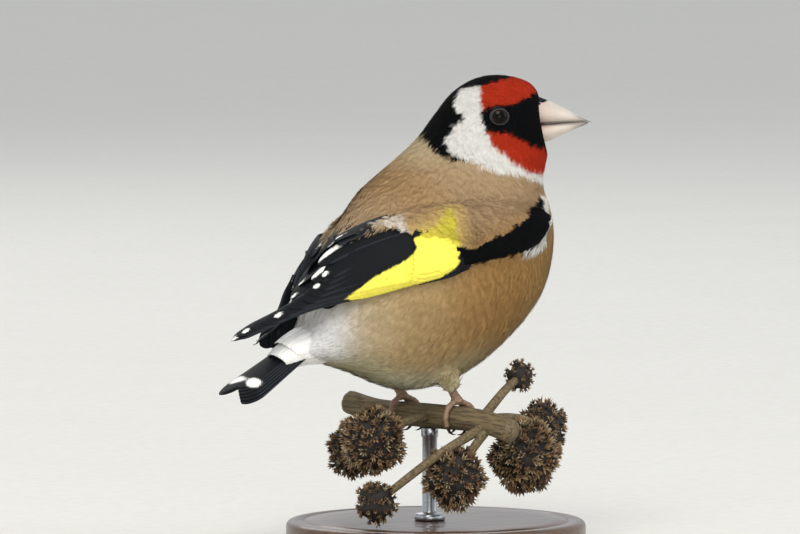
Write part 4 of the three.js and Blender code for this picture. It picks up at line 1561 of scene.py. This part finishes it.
@dataclass
class Tail:
    """The folded tail, rolled towards the camera, and the long white coverts about its root."""

    root: Place = (-27.5, 0.0, 48.6)
    feathers_a_side: int = 6
    length: float = 26.6
    fork: float = 3.4
    drop: float = math.radians(32.5)
    roll: float = -0.17
    width: float = 5.7
    fan: float = 0.14
    roof: float = 0.12
    # Each white spot has its middle in the flank's view, across and up, and its half height.
    spots: tuple[Place, ...] = ((-38.5, 35.6, 0.95), (-46.0, 35.5, 0.65))
    # Each ring of coverts has the middle, half width, half height and slant of its roots and of its tips.
    rings: Rows = (
        (-30, 44.6, 5.2, 2.9, 2.5, -38.2, 41.4, 3.9, 1.5, 1.2),
        (-27, 45.2, 7, 3.9, 3.4, -35.8, 43, 4.8, 2.4, 2),
    )
    coverts_a_ring: int = 18

    def build(self, material: Material) -> Piece:
        """Builds the tail feathers as one piece."""
        feathers = Feathers("tail_feathers")
        for side in Side:
            for i in reversed(range(self.feathers_a_side)):
                outward = (i + 0.5) / self.feathers_a_side
                length = self.length - self.fork * (1 - outward)
                lean = side.value * outward
                turns = ((math.pi, "Z"), (self.drop, "Y"), (self.roll - self.roof * lean, "X"))
                lie = np.linalg.multi_dot([Matrix.Rotation(angle, 3, axis) for angle, axis in turns])
                ahead = length * np.array(Matrix.Rotation(self.fan * lean, 3, "Z"))[:, 0]
                flat = shares(24)[:, None] * ahead + [0, 1.4 * lean, 0.45 - 0.9 * outward]
                vane = Vane(flat @ lie.T + self.root, lie[:, 2], self.width, 0.16, rows=40, columns=14)
                view = flank_view(vane.build()[0])
                white = [high - np.hypot((view[:, 0] - x) * 0.6, view[:, 1] - z) for x, z, high in self.spots]
                feathers.add(vane, None, np.max(white, 0))
        return feathers.made(material)

    def coverts(self, markings: Markings, material: Material) -> Piece:
        """Builds the rings of coverts that lie over the tail's root, in the plumage's colours darkened
        towards their roots as painted shade.

        Args:
            markings: The plumage's colours.
            material: The plumage's finish.

        Returns:
            The piece.
        """
        feathers = Feathers("tail_coverts")
        for ring in self.rings:
            for turn in np.linspace(0, 2 * np.pi, self.coverts_a_ring, endpoint=False):
                out = np.array([0.0, math.sin(turn), math.cos(turn)])
                start, end = (
                    np.array([x - slant * out[2], wide * out[1], z + high * out[2]])
                    for x, z, wide, high, slant in (ring[:5], ring[5:])
                )
                u = shares(16)[:, None]
                path = start + u * (end - start) + np.sin(np.pi * u) * 0.5 * out
                feathers.add(Vane(path, out, 2.7, 0.1, camber=0.6, rows=14, columns=6))
        piece = feathers.made(material)
        points = read(piece.data, "co", 3) / MM
        off = np.full(len(points), -1.0)
        tint = markings.tints(points, off, off * 0, off * 0)
        # Each covert darkens towards its root as painted shade under the coverts that overlap it.
        share = np.vstack([flat for flat, *_ in feathers.marks])[:, :1] / 9.0
        write_tint(piece.data, tint * (0.72 + 0.28 * share.clip(0, 1)))
        return piece


# Bill, eyes and legs


@dataclass
class Bill:
    """The two halves of the bill, as lofts between a top line and a lower line."""

    body: BodyForm
    # Each row has a place along the head, the top's height, the lower edge's height and the half width.
    upper: Rows = (
        (18.6, 93.4, 92.4, 0.3), (19.8, 94.9, 91, 3.3), (21.6, 96.2, 90.4, 4.35), (24.4, 95.5, 90.55, 3.75),
        (27.6, 94.25, 90.8, 2.55), (30.8, 92.45, 90.95, 1.35),
        (33, 91.35, 90.95, 0.55), (34.1, 90.85, 90.8, 0.08),
    )
    lower: Rows = (
        (18.4, 89.2, 88.2, 0.3), (19.6, 90.2, 87.0, 3.4), (21.2, 90.4, 86.2, 4.25), (25.0, 90.55, 86.8, 3.2),
        (27.8, 90.78, 88, 2.1), (30.8, 90.92, 89.4, 1.1),
        (32.6, 90.92, 90.15, 0.45), (33.4, 90.8, 90.6, 0.08),
    )
    ivory: int = 0xCBBFB3
    pink: int = 0xC0A79A
    slate: int = 0x45403E
    bristles: int = 34

    def loft(self, rows: Rows, u: Array, turn: Array, top: bool) -> Array:
        """Places points on a half's face, 0 degrees on top, on the head before it is turned."""
        lines = spline(np.array(rows), u)
        mid, reach = (lines[:, 1] + lines[:, 2]) / 2, (lines[:, 1] - lines[:, 2]) / 2
        pinch = 1 - 0.16 * np.cos(turn) * (1 if top else -1)
        return np.stack([lines[:, 0], lines[:, 3] * np.sin(turn) * pinch, mid + reach * np.cos(turn)], 1)

    def half(self, name: str, rows: Rows, material: Material) -> Piece:
        """Builds one half.

        Args:
            name: The piece's name.
            rows: The half's rows of sizes.
            material: Its finish.

        Returns:
            The piece.
        """
        count, sides = 40, 28
        u, turn = crossed(shares(count), circle(sides))
        rings = self.loft(rows, u, turn, name.endswith("upper"))
        points = np.vstack([rings, rings[:sides].mean(0), rings[-sides:].mean(0)])
        piece = Shell(name, (self.body.turned(points), capped(count, sides))).made(material)
        tip = smooth(points[:, 0], 29.0, 34.0)[:, None]
        ridge = (smooth(points[:, 2], 92.5, 95.5) * smooth(points[:, 0], 24.0, 30.0))[:, None]
        pink, ivory, slate = (np.array(colour(code)) for code in (self.pink, self.ivory, self.slate))
        base = pink + smooth(points[:, 0], 22.0, 27.0)[:, None] * (ivory - pink)
        gape = (1 - smooth(np.abs(points[:, 2] - 90.6), 0.15, 0.55))[:, None]
        dark = np.max([0.85 * tip, 0.4 * ridge, 0.55 * gape], 0)
        write_tint(piece.data, base * (1 - dark) + slate * dark)
        return piece

    def build(self, material: Material) -> list[Piece]:
        """Builds both halves."""
        halves = {"bill_skin_upper": self.upper, "bill_skin_lower": self.lower}
        return [self.half(name, rows, material) for name, rows in halves.items()]

    def bristled(self, material: Material) -> Piece:
        """Builds the short black bristles that lie forward over the bill's root."""
        feathers, rng = Feathers("bill_bristles"), np.random.default_rng(3)
        for top, rows in ((True, self.upper), (False, self.lower)):
            places = np.linspace(-1.75, 1.75, self.bristles) + (0 if top else np.pi)
            for turn in places + rng.normal(0, 0.03, self.bristles):
                reach = 0.12 * math.cos(turn) ** 2 if top else 0.02
                steps = np.linspace(0.24, 0.31 + reach + rng.uniform(-0.02, 0.03), 8)
                turns = np.full(8, turn)
                face = self.loft(rows, steps, turns, top)
                middle = (self.loft(rows, steps, turns + np.pi, top) + face) / 2
                out = unit((face - middle) * (0, 1, 1))
                path = self.body.turned(face + out * np.linspace(0.35, 0.12, 8)[:, None])
                out = self.body.turned(face + out) - self.body.turned(face)
                feathers.add(Vane(path, out, 0.75, 0.06, camber=0.08, rows=8, columns=4, round_tip=0.7))
        return feathers.made(material)


@dataclass
class Eye:
    """An eyeball with its lids."""

    side: Side
    centre: Array
    body: BodyForm
    radius: float = 2.5
    pupil: float = 1.15
    iris: float = 1.75
    # The lids' section: the distance from the eye's own axis, and how far out it lies.
    lid_section: Outline = (
        (1.50, 1.97), (1.54, 2.05), (1.61, 2.06), (1.70, 1.96), (1.82, 1.70), (1.98, 1.30), (1.98, 0.60),
        (1.70, 1.10),
    )

    def around(self, radius: Array, height: Array, turn: Array) -> Array:
        """Places points about the eye's axis, drawn out a little towards the bill."""
        yaw = self.body.head_turn + self.side.value * math.radians(90 - 8)
        axis = np.array([math.cos(yaw), math.sin(yaw), 0.05])
        ahead = unit(np.array([-axis[1], axis[0], 0.0])) * -self.side.value
        up = np.cross(axis, ahead) * -self.side.value
        flat = np.cos(turn)[:, None] * ahead + np.sin(turn)[:, None] * up
        return self.centre + height[:, None] * axis + radius[:, None] * flat

    def ball(self, material: Material) -> Piece:
        """Builds the eyeball, with its iris and pupil as vertex colours."""
        rings, sides = 40, 48
        bend, turn = globe(rings, sides)
        r = self.radius * np.sin(bend)
        points = self.around(r, self.radius * np.cos(bend), turn)
        piece = Shell(f"eyeball_{self.side.label}", (points, capped(rings, sides))).made(material)
        ring = (r >= self.pupil) & (r < self.iris)
        write_tint(piece.data, np.where(ring[:, None], colour(0x1C100A), colour(0x050403)))
        return piece

    def lids(self, material: Material) -> Piece:
        """Builds the ring of bare, wrinkled skin about the eye."""
        sides = 56
        rings = len(self.lid_section)
        r, height = np.repeat(self.lid_section, sides, 0).T
        turn = np.tile(circle(sides), rings)
        stretch = 1 + 0.09 * np.cos(turn) ** 2
        crease = 1 + 0.012 * np.sin(turn * 19) + 0.01 * np.sin(turn * 31)
        points = self.around(r * stretch * crease, height, turn)
        faces = [tuple(i % len(points) for i in face) for face in grid_faces(rings + 1, sides)]
        return Shell(f"eyelids_{self.side.label}", (points, faces)).made(material)


@dataclass
class Leg:
    """A bare tarsus and the foot that grips the stem."""

    side: Side
    perch: PerchForm
    # Each toe has its place across the foot and the degrees at which it ends.
    toes: Outline = ((-1.0, -28.0), (0.0, -38.0), (1.0, -28.0), (0.1, 206.0))
    scute: float = 0.9

    def toe_path(self, toe: Pair, degrees: Array, radius: Array) -> Array:
        """Leads a toe's middle line round the stem."""
        out = np.minimum(1.1, np.abs(degrees - 90) / abs(toe[1] - 90))
        return self.perch.round(self.side, degrees, toe[0] * self.perch.toe_spread * out, radius)

    def scuted(self, path: Array, radii: Array, sides: int = 14) -> Part:
        """Builds a bar whose outer side is stepped by overlapping scutes."""
        step = run_along(path) / self.scute % 1
        return tube(path, radii * (1 + 0.09 * (0.5 - step)), sides)

    def skin(self, material: Material) -> Piece:
        """Builds the tarsus, the sole and the toes as one piece."""
        shell = Shell(f"leg_skin_{self.side.label}")
        pad = self.perch.foot(self.side) + [0, 0, 3.85]
        knee = np.array([pad[0] - 4.5, self.side.value * 9.2, 39.0])
        u = shares(60)
        radii = 1.0 - 0.12 * np.sin(np.pi * u) + 0.18 * smooth(u, 0.85, 1)
        shell.add(*self.scuted(knee + (pad - knee) * u[:, None], radii))
        turn = np.linspace(0, np.pi, 14)
        ball = np.stack([1.4 * np.sin(turn), -0.85 * np.cos(turn)], 1)
        shell.add(*lathe(ball, 20, pad - [0, 0, 0.1]))
        for toe in self.toes:
            start = 100 if toe[1] > 90 else 80
            degrees = np.linspace(start, toe[1], 56)
            u = shares(56)
            joints = 1 + 0.1 * np.cos(2 * np.pi * u * 3)
            path = self.toe_path(toe, degrees, np.full(56, self.perch.toe_reach))
            shell.add(*self.scuted(path, (self.perch.toe_radius - 0.14 * u) * joints))
        return shell.made(material)

    def claws(self, material: Material) -> Piece:
        """Builds the four claws, curved on round the stem to fine points."""
        shell = Shell(f"claws_{self.side.label}")
        for toe in self.toes:
            way = math.copysign(1, toe[1] - 90)
            u = shares(18)
            radii = self.perch.toe_reach - 0.05 + 0.25 * np.sin(np.pi * u)
            path = self.toe_path(toe, toe[1] + way * (3 + 49 * u), radii)
            shell.add(*tube(path, 0.47 - 0.40 * u**0.8, 10, 1.15))
        return shell.made(material)


# Perch and stand


@dataclass
class Perch:
    """The cut length of dry stem with its stalks and seed heads."""

    form: PerchForm
    # Each row is a place along the stem and how far it lies above its straight line.
    bend: Outline = (
        (-25, 1.3), (-18, 0.3), (-12, 0), (-5, 0), (5, 0), (12, 0), (18, -0.4), (25, -1.8),
    )
    floret_spacing: float = 1.15
    floret_size: float = 2.1
    seed: int = 31

    def stems(self, material: Material) -> Piece:
        """Builds the stem and the stalks with ribs along them."""
        shell = Shell("perch_bark")
        u = shares(90)
        path = spline([self.form.at(*row) for row in self.bend], u)
        shell.add(*self.ribbed(path, self.form.stem_radius * (1 - 0.03 * np.sin(9 * u) - 0.02), 36, 0.035))
        for *end, _, leaves in self.form.seed_heads:
            start = self.form.at(leaves, np.interp(leaves, *np.array(self.bend).T))
            middle = (start + end) / 2 + [0, -1.5, 1.5]
            path = spline([start, middle, end], shares(24))
            shell.add(*self.ribbed(path, np.linspace(1.1, 0.8, 24), 16, 0.08))
        return shell.made(material)

    def ribbed(self, path: Array, radii: Array, sides: int, deep: float) -> Part:
        """Builds a bar with shallow grooves along it."""
        points, faces = tube(path, radii, sides)
        rings = points[:-2].reshape(len(path), sides, 3)
        groove = 1 - deep * (np.arange(sides) % 4 == 0)
        rings[:] = path[:, None] + (rings - path[:, None]) * groove[None, :, None]
        return points, faces

    def heads(self, material: Material) -> Piece:
        """Builds the seed heads: lumps covered in dry florets."""
        shell = Shell("seed_heads")
        rows, sides = 22, 32
        rise, turn = globe(rows, sides)
        flat, facing = [], []
        for i, (x, y, z, radius, _) in enumerate(self.form.seed_heads):
            bumps = 0.09 * np.sin(3 * turn + 5 * rise + i) * np.sin(rise) + 0.07 * np.cos(6 * rise + i)
            lump = radius * (1 + bumps)
            way = np.stack([np.sin(rise) * np.cos(turn), np.sin(rise) * np.sin(turn), 1.1 * np.cos(rise)], 1)
            shell.add([x, y, z] + 0.8 * lump[:, None] * way, capped(rows, sides))
            facing.append(unit(way))
            flat.append(np.full(len(way), radius / 7))
        bed = shell.made(material)
        mesh = bed.data
        core = placed("seed_cores", mesh.copy())
        facing = np.vstack(facing)
        rng = np.random.default_rng(self.seed)
        aside = np.cross(facing, rng.normal(size=facing.shape))
        write(mesh, "out", unit(aside))
        write(mesh, "flow", facing)
        write(mesh, "size", np.concatenate(flat).clip(0.6, 1.1))
        write(mesh, "lift", np.zeros(len(facing)))
        write(mesh, "cover", np.ones(len(facing)))
        florets = variants_of(Floret, "floret")
        sizes = (self.floret_spacing, self.floret_size, self.floret_size, 0.6)
        cover = ScatterTree(draped=False).laid(bed, florets, material, self.seed, sizes)
        drop_variants(florets)
        self.colour(cover.data)
        write_tint(core.data, np.tile(colour(0x1D1611), (len(core.data.vertices), 1)))
        write_uv(core.data, "OFBake", np.full((len(core.data.vertices), 2), 0.995))
        with bpy.context.temp_override(active_object=cover, selected_editable_objects=[cover, core]):
            bpy.ops.object.join()
        return cover

    def colour(self, mesh: Mesh) -> None:
        """Colours each floret from a dark foot to a straw point, some of them all pale."""
        tuft, roots = tuft_roots(mesh)
        count = len(roots)
        rng = np.random.default_rng(self.seed + 1)
        dark, pale = (
            np.array([colour(code) for code in codes])[rng.integers(0, 3, count)]
            for codes in ((0x38271A, 0x533A26, 0x6C5135), (0x8A6A48, 0xAC9066, 0xD0BD93))
        )
        share = smooth(read(mesh, "along", 1), 0.35, 1.0)[:, None] * rng.uniform(0.3, 1.0, (count, 1))[tuft]
        write_tint(mesh, dark[tuft] * (1 - share) + pale[tuft] * share)
        heads = np.array(self.form.seed_heads)
        nearest = (np.linalg.norm(roots[:, None] - heads[None, :, :3], axis=-1) - heads[:, 3]).argmin(1)
        way = unit(roots - heads[nearest, :3])
        turn = np.arctan2(way[:, 1], way[:, 0]) / (2 * np.pi) + 0.5
        rise = np.arccos(way[:, 2].clip(-1, 1)) / np.pi
        chart = np.stack([0.02 + 0.96 * turn, (nearest + 0.05 + 0.9 * rise) / len(heads)], 1)
        patched(mesh, chart, tuft, 0.006)


@dataclass
class Stand:
    """The display stand: a turned wooden base and a steel rod up to the stem."""

    base_radius: float = 32.0
    base_height: float = 6.0
    bead: float = 1.2
    rod_radius: float = 1.6
    rod_top: float = 26.0
    rod_place: Pair = (-1.5, 0.0)

    def base(self, material: Material) -> Piece:
        """Turns the base, with a rounded edge and a shallow step round its top."""
        r, h, b = self.base_radius, self.base_height, self.bead
        bend = np.linspace(0, np.pi / 2, 7)
        low = [(r - 0.6 + 0.6 * math.sin(a), 0.6 - 0.6 * math.cos(a)) for a in bend]
        high = [(r - b + b * math.cos(a), h - b + b * math.sin(a)) for a in bend]
        step = [(r - 3.4, h), (r - 3.7, h - 0.35), (r - 4.0, h)]
        flats = [(r * share, h) for share in (0.75, 0.5, 0.25, 0.1)]
        profile = [(0, 0), (r * 0.5, 0), *low, *high, *step, *flats, (0, h)]
        return Shell("stand_wood_base", lathe(np.array(profile), 128, np.zeros(3))).made(material)

    def rod(self, material: Material) -> Piece:
        """Builds the rod with a collar at its foot and a narrow ring at its top."""
        r, h = self.rod_radius, self.base_height
        collar = ((-r, 0.05), (1.5, 0.05), (1.7, 0.3), (1.7, 1.2), (1.4, 1.5), (0.15, 1.7), (0, 2.0), (0, 10))
        ring = ((0, -2.2), (0.25, -2.0), (0.25, -0.3), (0, -0.05), (-r, 0))
        profile = [(r + out, h + up) for out, up in collar]
        profile += [(r + out, self.rod_top + up) for out, up in ring]
        turned = lathe(np.array(profile), 48, np.array([*self.rod_place, 0.0]))
        return Shell("stand_steel_rod", turned).made(material)


# The studio


@dataclass
class Studio:
    """A plain pale floor, soft light and a camera at the photograph's angle."""

    picture_width: int = 800
    picture_height: int = 534
    mm_a_pixel: float = 0.213
    origin_pixel: Pair = (436.0, 548.5)
    distance: float = 1800.0
    focus_height: float = 65.0

    def camera(self) -> None:
        """Places the camera so that the origin falls on its pixel."""
        right, up, back = view_axes()
        u, v = self.origin_pixel
        middle = (right * (self.picture_width / 2 - u) + up * (v - self.picture_height / 2)) * self.mm_a_pixel
        middle = middle + back * ((np.array([0, 0, self.focus_height]) - middle) @ back)
        data = bpy.data.cameras.new("camera")
        data.lens = data.sensor_width * self.distance / (self.picture_width * self.mm_a_pixel)
        data.clip_start, data.clip_end = 0.05, 60
        camera = placed("camera", data)
        facing = Matrix(np.stack([right, up, back], 1).tolist()).to_4x4()
        camera.matrix_world = Matrix.Translation((middle + back * self.distance) * MM) @ facing
        bpy.context.scene.camera = camera

    def light(self, name: str, place: Place, size: float, watts: float, tone: Colour) -> None:
        """Adds a soft lamp that faces the bird."""
        data = bpy.data.lights.new(name, "AREA")
        data.size, data.energy, data.color = size, watts, tone
        lamp = placed(name, data)
        lamp.location = place
        lamp.rotation_euler = (Vector(place) - Vector((0, 0, 0.065))).to_track_quat("Z", "Y").to_euler()

    def build(self) -> None:
        """Builds the floor, the light and the camera."""
        self.camera()
        self.light("key", (-0.55, -0.75, 1.05), 0.7, 10, (1.0, 0.97, 0.92))
        self.light("fill", (0.95, -0.7, 0.5), 0.9, 3.5, (0.93, 0.96, 1.0))
        self.light("back", (0.1, 1.0, 0.9), 0.8, 4, (1.0, 0.98, 0.95))
        self.light("low fill", (-0.35, -1.0, 0.16), 0.5, 2, (1.0, 0.99, 0.96))
        world = bpy.data.worlds.new("studio")
        world.use_nodes = True
        ground = world.node_tree.nodes["Background"]
        ground.inputs["Color"].default_value = (0.9, 0.93, 0.96, 1)
        ground.inputs["Strength"].default_value = 0.78
        bpy.context.scene.world = world
        bpy.context.scene.view_settings.view_transform = "Standard"
        turn = circle(64)
        rim = 9000 * np.stack([np.cos(turn), np.sin(turn), np.zeros(64)], 1)
        floor = Shell("floor", (rim, [tuple(range(64))]))
        faint = {"strength": 0.04, "blotches": 0.04, "depth_mm": 0.02}
        pale = GrainedFinish("pale floor", 0.9, colour(0xD9D7D2), colour(0xD4D2CC), 0.3, **faint)
        floor.made(pale.material())


class Finishes:
    """All the object's materials, built once."""

    def __init__(self) -> None:
        """Builds them."""
        self.plumage = TintedFinish(
            "plumage", 0.85, 5.0, 0.5, 0.08, shine=0.07, blotches=0.3, relief=0.35
        ).material()
        self.vanes = VaneFinish().material()
        self.bill = TintedFinish("bill horn", 0.38, 5.0, 0.12, 0.02, coat=0.25).material()
        self.eye = TintedFinish("wet eye", 0.05, 0.42, 0.02, 0.0, shine=0.12).material()
        self.seed = TintedFinish("dry bracts", 0.75, 3.0, 0.35, 0.08).material()
        self.lids = self.grained("lid skin", 0.7, 0x1B1E22, 0x2A2E33, 6.0, strength=0.3, depth_mm=0.03)
        self.leg = self.grained("leg skin", 0.5, 0x9A7C64, 0x7F6350, 3.0, strength=0.25, depth_mm=0.06)
        self.claw = self.grained(
            "claw horn", 0.35, 0x3A2C26, 0x241B18, 3.0, strength=0.2, depth_mm=0.03, coat=0.3
        )
        along_stem = {"stretch": (0.1, 1.0, 1.0), "heading": math.atan2(-0.966, 0.26)}
        self.bark = self.grained(
            "dry stem", 0.8, 0x7A6A4C, 0x483B2B, 2.2, strength=0.5, blotches=0.5, depth_mm=0.2, **along_stem
        )
        self.wood = self.grained(
            "turned wood", 0.38, 0x5A3D27, 0x3B2617, 0.35, stretch=(0.12, 1.6, 1.0), strength=0.35, coat=0.35
        )
        brushed = {"stretch": (0.3, 0.3, 6.0), "strength": 0.15, "blotches": 0.1, "depth_mm": 0.02}
        self.steel = self.grained("brushed steel", 0.3, 0xB9BCC0, 0xA2A5A9, 1.2, metallic=1.0, **brushed)

    def grained(
        self, name: str, rough: float, base: int, other: int, scale: float, **values: object
    ) -> Material:
        """Builds one grained finish from its two display colours."""
        return GrainedFinish(name, rough, colour(base), colour(other), scale, **values).material()


def put(piece: Piece, slot: str, *nodes: str) -> None:
    """Rides a piece on the body, hides the nodes it stands for, and reports its triangles."""
    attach(piece, "root")
    if nodes:
        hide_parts(*nodes)
    triangles = len(piece.data.loops) - 2 * len(piece.data.polygons)
    log.info("%s: %d triangles", piece.name, triangles)


def main() -> None:
    """Builds the goldfinch, its perch and its stand, and the studio about them."""
    logging.basicConfig(level=logging.INFO, format="%(message)s")
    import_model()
    Studio().build()
    finishes = Finishes()
    body, perch = BodyForm(), PerchForm()
    eyes = {side: sum(np.array(corner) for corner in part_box(f"eye_{side.label}")) / 2 / MM for side in Side}
    hull = Hull(body, perch)
    markings = Markings()
    coat = Coat(hull, markings, finishes.plumage, tuple(eyes.values()))
    tracts = coat.build()
    put(hull.object, "brown_plumage", "head", "neck", "trunk", "thigh_left", "thigh_right")
    slots = {Tract.HEAD: "face_plumage", Tract.NECK: "collar_plumage", Tract.SHOULDER: "black_plumage"}
    for tract in tracts:
        put(tract, slots.get(Tract(tract.name), "brown_plumage"))
    for side in Side:
        name = side.label
        wing = Wing(WingForm(side), body, markings.gold).build(finishes.vanes)
        parts = (f"wing_{name}_{part}" for part in ("coverts", "secondaries", "primaries"))
        put(wing, "black_plumage", *parts)
        eye = Eye(side, eyes[side], body)
        put(eye.ball(finishes.eye), "eye_gloss", f"eye_{name}")
        put(eye.lids(finishes.lids), "face_plumage")
        leg = Leg(side, perch)
        put(leg.skin(finishes.leg), "leg_skin", f"tarsus_{name}", f"foot_{name}")
        put(leg.claws(finishes.claw), "claw_horn", *(f"claw_{name}_{i}" for i in range(1, 5)))
    tail = Tail()
    put(tail.build(finishes.vanes), "black_plumage", "tail")
    put(tail.coverts(markings, finishes.plumage), "brown_plumage")
    for half in Bill(body).build(finishes.bill):
        put(half, "bill_horn", half.name.replace("_skin", ""))
    put(Bill(body).bristled(finishes.vanes), "face_plumage")
    mount = Perch(perch)
    put(mount.stems(finishes.bark), "dry_stem", "perch_stem")
    heads = tuple(f"perch_seed_head_{i + 1}" for i in range(len(perch.seed_heads)))
    put(mount.heads(finishes.seed), "dry_seed", *heads)
    stand = Stand()
    put(stand.base(finishes.wood), "stand_wood", "stand_base")
    put(stand.rod(finishes.steel), "stand_steel", "stand_rod")


if __name__ == "__main__":
    main()
